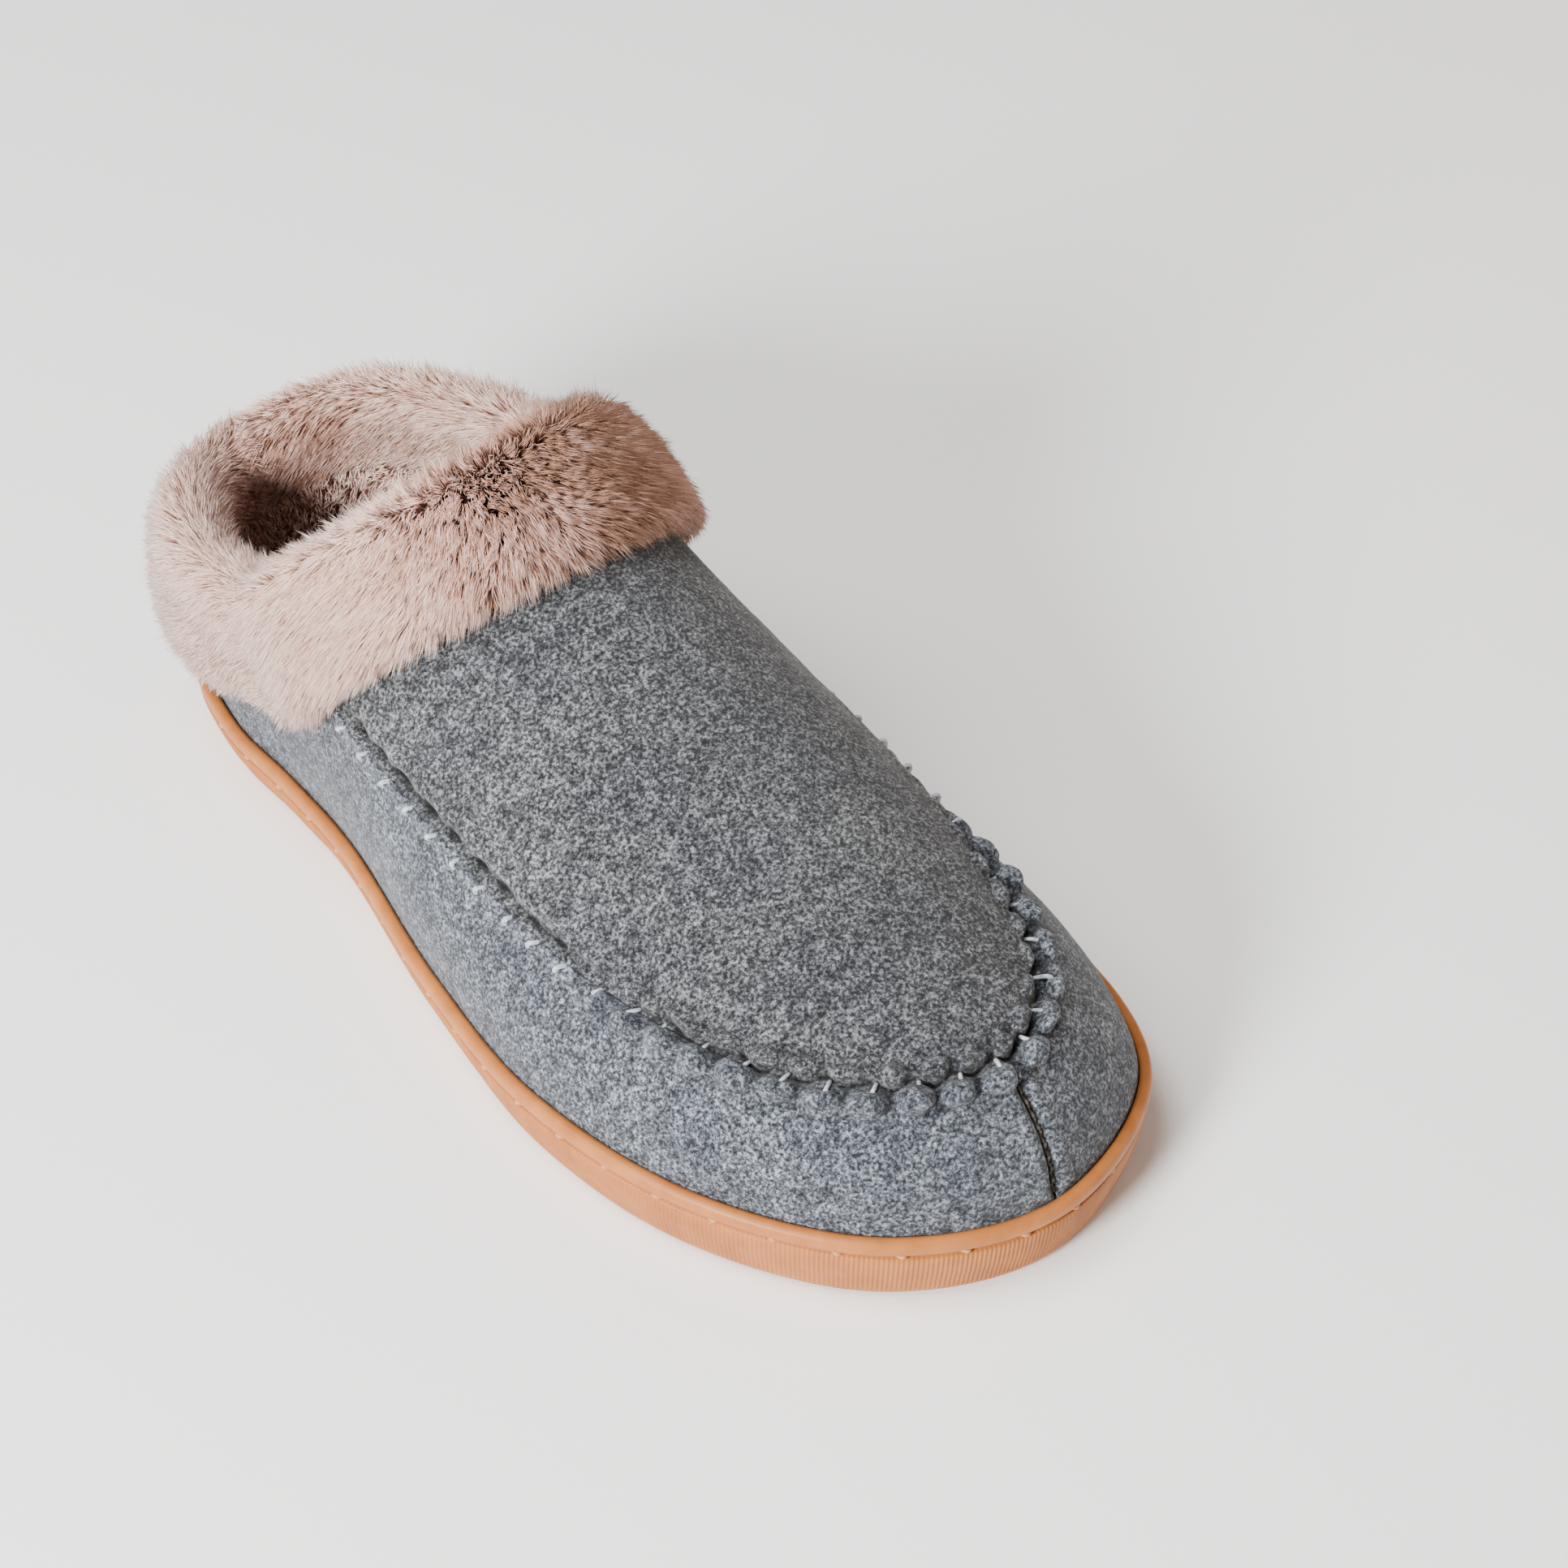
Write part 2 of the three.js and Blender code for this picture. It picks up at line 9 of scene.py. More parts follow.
import bpy
import numpy as np
from mathutils import Matrix, Vector, kdtree


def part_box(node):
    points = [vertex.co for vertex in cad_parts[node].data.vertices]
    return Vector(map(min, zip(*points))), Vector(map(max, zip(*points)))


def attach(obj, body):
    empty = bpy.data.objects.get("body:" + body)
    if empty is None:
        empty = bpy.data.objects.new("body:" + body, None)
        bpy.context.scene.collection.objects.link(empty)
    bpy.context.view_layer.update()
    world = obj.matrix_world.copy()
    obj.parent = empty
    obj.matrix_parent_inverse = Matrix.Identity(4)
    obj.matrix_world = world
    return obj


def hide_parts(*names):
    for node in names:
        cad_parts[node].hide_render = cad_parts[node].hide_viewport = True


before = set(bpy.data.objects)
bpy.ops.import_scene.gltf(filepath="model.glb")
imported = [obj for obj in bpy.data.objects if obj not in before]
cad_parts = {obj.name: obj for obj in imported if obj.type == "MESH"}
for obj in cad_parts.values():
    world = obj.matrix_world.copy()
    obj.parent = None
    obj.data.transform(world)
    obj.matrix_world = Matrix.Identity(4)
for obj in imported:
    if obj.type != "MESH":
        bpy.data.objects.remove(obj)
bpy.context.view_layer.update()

MM = 0.001
rng = np.random.default_rng(20)

# ---------- sizes shared with the CAD part, in millimetres ----------
LIP_HEEL, LIP_TOE = 15.0, 19.0        # height of the sole wall
CUP_FLOOR, CUP_WALL, GAP = 6.0, 2.6, 0.3
FELT = 2.6                            # thickness of the felt
FELT_FOOT = 8.5                       # height of the felt's lower edge, inside the sole wall
LINING_OUT, LINING_IN = 4.6, 8.7      # depth of the lining's faces below the felt face
BOARD_TOP, FOAM_TOP, LINER_TOP = 13.1, 18.4, 20.2
LASTED = CUP_WALL + GAP + LINING_IN   # depth of the lining's inner face below the sole outline
CUFF, CUFF_DROP = 12.0, 12.0          # thickness of a cuff, and how far it reaches down inside
STITCHES = 38
BULGE = 4.0                           # how far the side panels swell out
S_RIM = 3 / 9                         # station where the apron seam reaches the mouth

OUTLINE_KEYS = [
    (-3, 142.5), (-25, 132.5), (-35.5, 106), (-38, 80), (-42.5, 50), (-56.5, 2),
    (-64.5, -43), (-58.5, -88), (-36, -126), (1, -143), (42.5, -129.5), (60, -95),
    (58, -55), (47, -12), (39, 34), (38, 76), (37, 104), (25, 131)]
TOP_KEYS = [
    (-3, 138, 66), (-24, 130, 65), (-35, 106, 65), (-39, 79, 71), (-44, 49, 61), (-49, 4, 54),
    (-49.5, -42, 47), (-40.5, -86, 45.5), (-23, -111.5, 46), (1, -122, 46.5), (21.5, -112, 48),
    (34.5, -87, 52), (41.5, -49.5, 57.5), (44, -10, 62.5), (43, 30, 71.5), (41, 68, 84),
    (37, 104, 78), (23, 129, 73)]
CROWN_KEYS = [
    (1, -122, 46.5), (0, -110.5, 53.5), (-1, -85, 62.5), (-1, -48, 74.5), (0, -12, 86.5),
    (2, 22, 98), (4, 46, 105)]


# ---------- curves ----------
def span(p0, p1, p2, p3, w):
    """Point at share w of the way from p1 to p2, on a smooth curve through all four."""
    m1, m2 = (p2 - p0) / 2, (p3 - p1) / 2
    return p1 + m1 * w + (3 * (p2 - p1) - 2 * m1 - m2) * w**2 + (2 * (p1 - p2) + m1 + m2) * w**3


def catmull(keys, closed=False):
    """Smooth curve through keys, as a function of 0..1."""
    keys = np.asarray(keys, float)
    if closed:
        row = np.vstack([keys[-1:], keys, keys[:2]])
        spans = len(keys)
    else:
        row = np.vstack([2 * keys[:1] - keys[1:2], keys, 2 * keys[-1:] - keys[-2:-1]])
        spans = len(keys) - 1

    def at(u):
        u = np.asarray(u, float)
        x = (u % 1.0 if closed else np.clip(u, 0, 1)) * spans
        i = np.minimum(x.astype(int), spans - 1)
        return span(row[i], row[i + 1], row[i + 2], row[i + 3], (x - i)[..., None])

    return at


outline = catmull([(x, y, 0) for x, y in OUTLINE_KEYS], True)
top_edge = catmull(TOP_KEYS, True)
crown = catmull(CROWN_KEYS)


def mix(a, b, t):
    return a + (b - a) * t


def smooth(t):
    t = np.clip(t, 0, 1)
    return t * t * (3 - 2 * t)


def hump(x, centre, width, power=2):
    """Bell curve, 1 at the centre; a power of 4 makes its top flatter and its sides steeper."""
    return np.exp(-(((x - centre) / width) ** power))


def unit(v):
    return v / np.maximum(np.linalg.norm(v, axis=-1, keepdims=True), 1e-9)


def ramp(values, t):
    """Value at share t of a row of evenly spaced values."""
    return np.interp(np.clip(t, 0, 1), np.linspace(0, 1, len(values)), values)


def outline_normal(u):
    t = outline(u + 1e-4) - outline(u - 1e-4)
    return unit(np.stack([t[..., 1], -t[..., 0], np.zeros_like(t[..., 0])], -1))


def lip_height(y):
    """Height of the sole wall's upper edge."""
    return mix(LIP_HEEL, LIP_TOE, smooth((60 - y) / 140))


def inset_point(u, depth, z):
    """Point inside the sole outline by depth, at height z."""
    p = outline(u) - outline_normal(u) * np.asarray(depth)[..., None]
    p[..., 2] = z
    return p


# ---------- skin of the upper ----------
def wall_point(u, s, t):
    """Side of the felt at height share t; below 0 it runs down inside the sole wall."""
    foot = inset_point(u, CUP_WALL + GAP, 0)
    foot[..., 2] = lip_height(foot[..., 1])
    up = np.clip(t, 0, 1)[..., None]
    swell = (BULGE * 4 * up * (1 - up)) * mix(0.55, 1, smooth(s))[..., None]
    p = mix(foot, top_edge(u), up) + outline_normal(u) * swell
    p[..., 2] += swell[..., 0] * 0.35 * smooth(s)
    p[..., 2] = np.where(t < 0, mix(foot[..., 2], FELT_FOOT, -t), p[..., 2])
    return p


def apron_point(s, w):
    """Top of the felt, w going from the lateral to the medial seam over the crown."""
    left, right = top_edge(s * 0.5), top_edge(1 - s * 0.5)
    ridge = crown(np.clip((1 - s) / (1 - S_RIM), 0, 1))
    full = mix(0.62, 0.8, smooth((s - S_RIM) / 0.35))
    arch = np.maximum(0, 1 - (2 * w - 1) ** 2) ** full
    return mix(left, right, w[..., None]) + (ridge - (left + right) / 2) * arch[..., None]


def skin(s, c):
    """Felt face. s: 0 heel centre .. 1 toe centre.
    c: 0 lateral foot, 1 lateral seam, 2 crown, 3 medial seam, 4 medial foot."""
    s, c = np.broadcast_arrays(np.asarray(s, float), np.asarray(c, float))
    t = np.where(c < 2, c, 4 - c)
    u = np.where(c < 2, s * 0.5, 1 - s * 0.5)
    wall = wall_point(u, s, np.minimum(t, 1))
    apron = apron_point(s, np.clip((c - 1) / 2, 0, 1))
    return np.where((t <= 1)[..., None], wall, apron)


def raw_normal(s, c, ds, dc):
    along = skin(np.clip(s + ds, 0, 1), c) - skin(np.clip(s - ds, 0, 1), c)
    return unit(np.cross(along, skin(s, c + dc) - skin(s, c - dc)))


def normal(s, c):
    """Outward direction, blended across the apron seam and toward the foot."""
    s, c = np.broadcast_arrays(np.asarray(s, float), np.asarray(c, float))
    lateral = c < 2
    t = np.where(lateral, c, 4 - c)
    u = np.where(lateral, s * 0.5, 1 - s * 0.5)
    seam = np.where(lateral, 1.0, 3.0)
    sign = np.where(lateral, 1.0, -1.0)
    sq, e, reach = np.minimum(s, 0.985), 0.03, 0.18
    at_rim = sq < S_RIM + 1e-6
    near_rim = np.where(lateral, np.minimum(c, 1 - e), np.maximum(c, 3 + e))
    plain = raw_normal(sq, np.where(at_rim, near_rim, np.clip(c, e, 4 - e)), 0.01, e * 0.9)
    foot_way = outline_normal(u)
    low = smooth(t / 0.3)[..., None]
    plain = np.where((t <= 0.3)[..., None], unit(mix(foot_way, plain, low)), plain)
    inner = raw_normal(sq, seam + sign * reach, 0.01, e)
    outer = raw_normal(sq, seam - sign * reach, 0.01, e)
    k = (0.5 + 0.5 * sign * (c - seam) / reach)[..., None]
    blended = unit(mix(outer, inner, np.clip(k, 0, 1)))
    near_seam = (np.abs(c - seam) < reach) & ~at_rim
    n = np.where(near_seam[..., None], blended, plain)
    return np.where((t <= 0.02)[..., None], foot_way, n)


def offset_skin(s, c, depth):
    return skin(s, c) - normal(s, c) * np.asarray(depth)[..., None]


# ---------- noise ----------
LATTICE_SIDE = 32
LATTICE = rng.random((LATTICE_SIDE,) * 3)


def noise(p, size):
    """Smooth random field, -1..1, with lumps about size millimetres across."""
    q = np.asarray(p) / size + 100.0
    i = np.floor(q).astype(int)
    f = q - i
    f = f * f * (3 - 2 * f)
    total = 0
    for step in np.ndindex(2, 2, 2):
        w = np.abs(1 - np.array(step) - f).prod(-1)
        cell = (i + step) % LATTICE_SIDE
        total = total + w * LATTICE[cell[..., 0], cell[..., 1], cell[..., 2]]
    return total * 2 - 1


# ---------- place in the row frame ----------
def frame_shift():
    """From the drawing frame to the row frame, found by matching the sole outline to the CAD sole."""
    ring = outline(np.linspace(0, 1, 4000))
    low, high = ring.min(0), ring.max(0)
    box_low, box_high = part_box("outsole")
    x, y = [(box_low[k] + box_high[k]) / 2 / MM - (low[k] + high[k]) / 2 for k in (0, 1)]
    return np.array([x, y, 0.0])


SHIFT = frame_shift()


def to_row(p):
    return (np.asarray(p) + SHIFT) * MM


# ---------- mesh builders ----------
def add_object(name, data):
    obj = bpy.data.objects.new(name, data)
    bpy.context.scene.collection.objects.link(obj)
    return obj


def new_object(name, points, faces, materials, material_index=None):
    """Mesh object from points in drawing millimetres and equal-sided faces."""
    sides = faces.shape[1]
    mesh = bpy.data.meshes.new(name)
    mesh.vertices.add(len(points))
    mesh.vertices.foreach_set("co", to_row(points).astype(np.float32).ravel())
    mesh.loops.add(faces.size)
    mesh.loops.foreach_set("vertex_index", faces.astype(np.int32).ravel())
    mesh.polygons.add(len(faces))
    mesh.polygons.foreach_set("loop_start", np.arange(0, faces.size, sides, dtype=np.int32))
    for m in materials:
        mesh.materials.append(m)
    if material_index is not None:
        mesh.polygons.foreach_set("material_index", material_index.astype(np.int32))
    mesh.polygons.foreach_set("use_smooth", np.ones(len(faces), bool))
    mesh.update(calc_edges=True)
    mesh.validate()
    return add_object(name, mesh)


def join_parts(parts):
    """Points and faces of several parts as one set."""
    points, faces, start = [], [], 0
    for p, f in parts:
        points.append(p)
        faces.append(f + start)
        start += len(p)
    return np.vstack(points), np.vstack(faces)


def grid_faces(rows, cols, wrap_cols=False, start=0, flip=False):
    """Four-sided faces of a grid of points, row by row; wrap_cols joins the last column to the first."""
    i, j = np.meshgrid(np.arange(rows - 1), np.arange(cols if wrap_cols else cols - 1), indexing="ij")
    k = (j + 1) % cols
    f = np.stack([i * cols + j, i * cols + k, (i + 1) * cols + k, (i + 1) * cols + j], -1).reshape(-1, 4)
    return (f[:, ::-1] if flip else f) + start


def slab(outer, inner):
    """Closed sheet between two grids of points."""
    rows, cols = outer.shape[:2]
    count = rows * cols
    ids = np.arange(count).reshape(rows, cols)
    edge = np.concatenate([ids[0, :-1], ids[:-1, -1], ids[-1, :0:-1], ids[:0:-1, 0]])
    after = np.roll(edge, -1)
    rim = np.stack([after, edge, edge + count, after + count], 1)
    faces = np.vstack([grid_faces(rows, cols), grid_faces(rows, cols, start=count, flip=True), rim])
    return np.vstack([outer.reshape(-1, 3), inner.reshape(-1, 3)]), faces


def rings_solid(rings):
    """Solid through closed rings of points, shut at both ends toward the rings' middles."""
    rings = [np.asarray(r) for r in rings]
    count = rings[0].shape[0]
    first = np.repeat(rings[0].mean(0)[None], count, 0)
    last = np.repeat(rings[-1].mean(0)[None], count, 0)
    rows = [mix(first, rings[0], 0.02)] + rings + [mix(last, rings[-1], 0.02)]
    return np.vstack(rows), grid_faces(len(rows), count, wrap_cols=True)


def tube(path, radius, sides=8, closed=False):
    """Round thread along a path; radius is a number or one per point."""
    path = np.asarray(path, float)
    radius = np.broadcast_to(np.asarray(radius, float), (len(path),))
    ahead = np.roll(path, -1, 0)
    behind = np.roll(path, 1, 0)
    if not closed:
        ahead[-1], behind[0] = path[-1], path[0]
    t = unit(ahead - behind)
    ref = np.where(np.abs(t[:, 2:3]) > 0.8, [[1.0, 0, 0]], [[0, 0, 1.0]])
    a = unit(np.cross(ref, t))
    b = np.cross(t, a)
    f = np.linspace(0, 2 * math.pi, sides, endpoint=False)
    ring = np.cos(f)[None, :, None] * a[:, None] + np.sin(f)[None, :, None] * b[:, None]
    rows = path[:, None] + ring * radius[:, None, None]
    if closed:
        rows = np.concatenate([rows, rows[:1]])
        return rows.reshape(-1, 3), grid_faces(len(rows), sides, wrap_cols=True)
    ends = [path[0] - t[0] * radius[0] * 0.6, path[-1] + t[-1] * radius[-1] * 0.6]
    rows = np.concatenate([
        ends[0] + ring[:1] * radius[0] * 0.35, rows, ends[1] + ring[-1:] * radius[-1] * 0.35])
    first, last = rows[0], rows[-1]
    rows = np.concatenate([
        mix(first.mean(0), first, 0.02)[None], rows, mix(last.mean(0), last, 0.02)[None]])
    return rows.reshape(-1, 3), grid_faces(len(rows), sides, wrap_cols=True)


# ---------- materials ----------
def linear(rgb):
    """Shader colour of a screen colour given as 0..255."""
    c = np.asarray(rgb, float) / 255
    return tuple(np.where(c <= 0.04045, c / 12.92, ((c + 0.055) / 1.055) ** 2.4)) + (1.0,)


def principled(name, colour, roughness, sheen=0.0):
    m = bpy.data.materials.new(name)
    m.use_nodes = True
    b = m.node_tree.nodes["Principled BSDF"]
    b.inputs["Base Color"].default_value = linear(colour)
    b.inputs["Roughness"].default_value = roughness
    b.inputs["Specular IOR Level"].default_value = 0.25
    b.inputs["Sheen Weight"].default_value = sheen
    b.inputs["Sheen Roughness"].default_value = 0.5
    return m


def add_node(m, kind, **values):
    n = m.node_tree.nodes.new(kind)
    for key, value in values.items():
        n.inputs[key.replace("_", " ")].default_value = value
    return n


def noise_node(m, size_mm, detail, rough):
    """Noise over the object's own place, with features about size_mm across."""
    place = m.node_tree.nodes.new("ShaderNodeTexCoord")
    n = add_node(m, "ShaderNodeTexNoise", Scale=1 / (size_mm * MM), Detail=detail, Roughness=rough)
    m.node_tree.links.new(place.outputs["Object"], n.inputs["Vector"])
    return n.outputs["Fac"]


def ramp_node(m, source, stops):
    n = m.node_tree.nodes.new("ShaderNodeValToRGB")
    m.node_tree.links.new(source, n.inputs["Fac"])
    while len(n.color_ramp.elements) < len(stops):
        n.color_ramp.elements.new(0.5)
    for element, (place, colour) in zip(n.color_ramp.elements, stops):
        element.position = place
        element.color = linear(colour)
    return n.outputs[0]


def darken(m, amount, first, second):
    """First colour multiplied by the second, by the given amount."""
    n = m.node_tree.nodes.new("ShaderNodeMix")
    n.data_type = "RGBA"
    n.blend_type = "MULTIPLY"
    n.inputs["Factor"].default_value = amount
    first_colour, second_colour = n.inputs[6], n.inputs[7]
    m.node_tree.links.new(first, first_colour)
    m.node_tree.links.new(second, second_colour)
    return n.outputs[2]


def finish_material(m, colour, relief, relief_mm):
    """Joins a colour, and a relief of that depth if there is one, to the surface."""
    surface = m.node_tree.nodes["Principled BSDF"].inputs
    m.node_tree.links.new(colour, surface["Base Color"])
    if relief_mm:
        n = add_node(m, "ShaderNodeBump", Strength=0.6, Distance=relief_mm * MM)
        m.node_tree.links.new(relief, n.inputs["Height"])
        m.node_tree.links.new(n.outputs["Normal"], surface["Normal"])
    return m


WHITE = (255, 255, 255)
CLOUD_GREY = (128, 130, 134)
PATCH_GREY, PATCH_WHITE = (214, 216, 222), (255, 255, 252)
FOLD_SHADE_GREY = (84, 80, 80)


def felt_material(name, dark, middle, light):
    """Felted wool: fine specks, softer clouds, broad patches, and painted shade that darkens the grooves
    and pinched gaps beside the seams.
    """
    m = principled(name, middle, 0.95, 0.15)
    speck = noise_node(m, 0.85, 4.0, 0.75)
    cloud = noise_node(m, 3.0, 2.0, 0.6)
    patch = noise_node(m, 22.0, 2.0, 0.5)
    colour = ramp_node(m, speck, [(0.38, dark), (0.5, middle), (0.62, light)])
    clouds = ramp_node(m, cloud, [(0.36, CLOUD_GREY), (0.64, WHITE)])
    patches = ramp_node(m, patch, [(0.3, PATCH_GREY), (0.7, PATCH_WHITE)])
    colour = darken(m, 0.75, colour, clouds)
    colour = darken(m, 0.8, colour, patches)
    # painted shade: the felt colour is darkened by a stored mask of how deep each point lies in a seam
    # groove
    fold_shade = m.node_tree.nodes.new("ShaderNodeAttribute")
    fold_shade.attribute_name = "crease_shade"
    fold_shade_colour = ramp_node(m, fold_shade.outputs["Fac"], [(0.0, WHITE), (1.0, FOLD_SHADE_GREY)])
    return finish_material(m, darken(m, 1.0, colour, fold_shade_colour), speck, 0.5)


def mottled_material(name, dark, light, size_mm, roughness, relief_mm, sheen=0.0):
    """Two near tones mixed by noise, with a fine relief."""
    m = principled(name, light, roughness, sheen)
    n = noise_node(m, size_mm, 3.0, 0.6)
    colour = ramp_node(m, n, [(0.3, dark), (0.7, light)])
    return finish_material(m, colour, n, relief_mm)


FELT_SIDE = felt_material("felt_side", (24, 26, 29), (82, 87, 95), (158, 164, 175))
FELT_APRON = felt_material("felt_apron", (19, 20, 21), (73, 75, 78), (149, 151, 155))
RUBBER = mottled_material("rubber_tan", (156, 92, 42), (176, 110, 56), 9.0, 0.42, 0.04)
SOLE_THREAD = mottled_material("sole_thread_tan", (176, 110, 62), (206, 146, 98), 1.0, 0.6, 0.1)
SEAM_THREAD = mottled_material("seam_thread_grey", (52, 46, 42), (88, 80, 74), 1.0, 0.8, 0.1)
YARN = mottled_material("apron_yarn_grey", (132, 136, 142), (208, 213, 220), 0.9, 0.85, 0.2, 0.2)
FOAM = mottled_material("foam_cream", (216, 208, 190), (236, 230, 214), 1.4, 0.9, 0.25)
BOARD = mottled_material("fibre_board", (160, 134, 104), (196, 172, 140), 1.6, 0.85, 0.1)
STIFF = mottled_material("stiffener_white", (196, 193, 184), (222, 219, 212), 2.2, 0.75, 0.1)
FUR_BACKING = mottled_material("fur_backing", (128, 94, 80), (166, 132, 116), 2.0, 0.95, 0.3)
LINING_BACKING = mottled_material("lining_backing", (134, 100, 85), (170, 133, 117), 2.0, 0.95, 0.3)
PLUSH_BACKING = mottled_material("plush_backing", (120, 92, 80), (164, 134, 120), 2.0, 0.95, 0.3)

FUR_TONES = [
    principled("fur_root_brown", (134, 90, 70), 0.8),
    principled("fur_brown", (166, 124, 100), 0.7, 0.1),
    principled("fur_rose", (203, 159, 141), 0.65, 0.15),
    principled("fur_pale_rose", (221, 184, 171), 0.6, 0.2),
    principled("fur_tip_cream", (232, 202, 190), 0.55, 0.2)]


def dress(obj, slot, *nodes):
    """Puts a piece on the body in place of CAD nodes; slot is not used."""
    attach(obj, "root")
    if nodes:
        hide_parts(*nodes)
    return obj


# ---------- sole ----------
SOLE_HEEL_Y, SOLE_LENGTH = 142, 285


def undercut(y):
    """How far the foot of the sole wall stands in from its outline."""
    return ramp([3, 3, 3.6, 2.4, 2], (SOLE_HEEL_Y - y) / SOLE_LENGTH)


def even_ring(count):
    """Parameters evenly spaced along the sole outline."""
    u = np.linspace(0, 1, 6001)
    p = outline(u)
    length = np.concatenate([[0], np.cumsum(np.linalg.norm(np.diff(p, axis=0), axis=1))])
    return np.interp(np.linspace(0, length[-1], count, endpoint=False), length, u), length[-1]


def outsole_body():
    """Sole wall with fine upright ribs, a groove for the stitches, a smooth lip and the cup inside."""
    ribs, per_rib = 640, 4
    u, _ = even_ring(ribs * per_rib)
    y = outline(u)[..., 1]
    lip, cut = lip_height(y), undercut(y)
    rib = 0.2 * np.cos(np.arange(len(u)) * 2 * math.pi / per_rib)
    # depth below the outline, height, share of the rib depth
    rows = [
        (cut + 9.5, 1.1, 0), (cut + 9.0, 0.1, 0), (cut + 8.6, 0, 0), (cut + 3.2, 0, 0),
        (cut + 2.0, 0.25, 0), (cut + 1.0, 0.9, 0), (cut + 0.4, 1.8, 0.5),
        (cut, 3.0, 1), (cut * 0.7, mix(3.0, lip * 0.45, 0.5), 1), (cut * 0.35, lip * 0.45, 1),
        (cut * 0.12 + 0.1, mix(lip * 0.45, lip - 5.2, 0.6), 1), (0.2, lip - 5.3, 1),
        (0.35, lip - 4.8, 0), (1.9, lip - 4.6, 0), (2.1, lip - 4.15, 0),
        (1.9, lip - 3.7, 0), (0.1, lip - 3.5, 0), (-0.3, lip - 2.9, 0),
        (-0.35, lip - 2.0, 0), (-0.25, lip - 1.0, 0), (0.1, lip - 0.35, 0),
        (0.7, lip, 0), (1.6, lip + 0.05, 0), (2.45, lip - 0.1, 0),
        (CUP_WALL, lip - 0.5, 0), (CUP_WALL, CUP_FLOOR, 0)]
    rings = [inset_point(u, d - rib * k, z) for d, z, k in rows]
    return rings_solid(rings)


def tread_bars():
    """Shallow wavy bars of the underside."""
    pitch, width, wave, wave_length, margin, edge = 9.0, 5.6, 1.6, 22, 7, 11.0
    section = [(-0.5, 1.3), (-0.5, 0.25), (-0.45, 0.0), (0.45, 0.0), (0.5, 0.25), (0.5, 1.3)]
    u = np.linspace(0, 1, 1200)
    ring = inset_point(u, undercut(outline(u)[..., 1]) + edge, 0)
    bars = []
    for y0 in np.arange(ring[:, 1].min() + margin, ring[:, 1].max() - margin, pitch):
        near = ring[np.abs(ring[:, 1] - y0) < 2.5]
        x = np.linspace(near[:, 0].min(), near[:, 0].max(), 40)
        line = y0 + wave * np.sin(x * 2 * math.pi / wave_length)
        rows = np.stack([
            np.stack([x, line + q * width, np.full_like(x, z)], -1) for q, z in section], 1)
        bars.append(rings_solid(list(rows)))
    return bars


def make_sole():
    points, faces = join_parts([outsole_body()] + tread_bars())
    dress(new_object("outsole_rubber", points, faces, [RUBBER]), "rubber_outsole", "outsole")


def make_sole_thread():
    """Thread in the groove of the sole wall, thicker and nearer the surface where it comes up."""
    samples, pitch = 2400, 14
    u, length = even_ring(samples)
    phase = np.arange(samples) / samples * round(length / pitch)
    near = hump(phase % 1, 0.5, 0.075)
    y = outline(u)[..., 1]
    path = inset_point(u, 1.25 - 1.0 * near, lip_height(y) - 4.1 + 0.15 * near)
    points, faces = tube(path, 0.3 + 0.3 * near, 8, closed=True)
    dress(new_object("sole_stitching", points, faces, [SOLE_THREAD]), "sole_thread", "sole_stitch_thread")


# ---------- apron seam ----------
SEAM_SAMPLES = 3000
SEAM_END = 0.23                       # place on the top edge where the seam starts, under the cuff
seam_u = np.linspace(SEAM_END, 1 - SEAM_END, SEAM_SAMPLES)
seam_line = top_edge(seam_u)
seam_length = np.concatenate([[0], np.cumsum(np.linalg.norm(np.diff(seam_line, axis=0), axis=1))])
stitch_pitch = seam_length[-1] / STITCHES
seam_tree = kdtree.KDTree(SEAM_SAMPLES)
for index, point in enumerate(seam_line):
    seam_tree.insert(Vector(point), index)
seam_tree.balance()
seam_jitter = rng.normal(0, 1, STITCHES + 4)


def seam_place(points):
    """Distance to the apron seam and the place along it, for each point."""
    flat = points.reshape(-1, 3)
    found = [seam_tree.find(Vector(p)) for p in flat]
    away = np.array([f[2] for f in found]).reshape(points.shape[:-1])
    along = seam_length[np.array([f[1] for f in found])].reshape(points.shape[:-1])
    return away, along


def toe_share(along):
    """1 round the toe, 0 along the straight sides of the seam."""
    return smooth((0.29 - np.abs(along / seam_length[-1] - 0.5)) / 0.12)


def dome(x, along, centre, half_width, half_length, phase_shift):
    """Row of rounded lumps, one a stitch, with pinched gaps between them."""
    phase = along / stitch_pitch + phase_shift
    which = np.clip(np.floor(phase).astype(int), 0, STITCHES + 3)
    size = 1 + 0.15 * seam_jitter[which]       # no two lumps are the same
    a = (phase - np.floor(phase) - 0.5) * stitch_pitch / half_length
    d = (x - centre - 0.5 * seam_jitter[which - 1]) / (half_width * size)
    return size * np.clip(1 - a * a - d * d, 0, 1) ** 0.7


def straight_gather(x, wave, notch):
    """Along the sides of the seam: a broken groove on the apron between two soft rolls."""
    rolls = (0.8 - 0.45 * wave) * hump(x, -0.6, 1.9) + 0.5 * hump(x, 5.4, 2.0)
    return -2.3 * notch * hump(x, 2.6, 0.95) + rolls


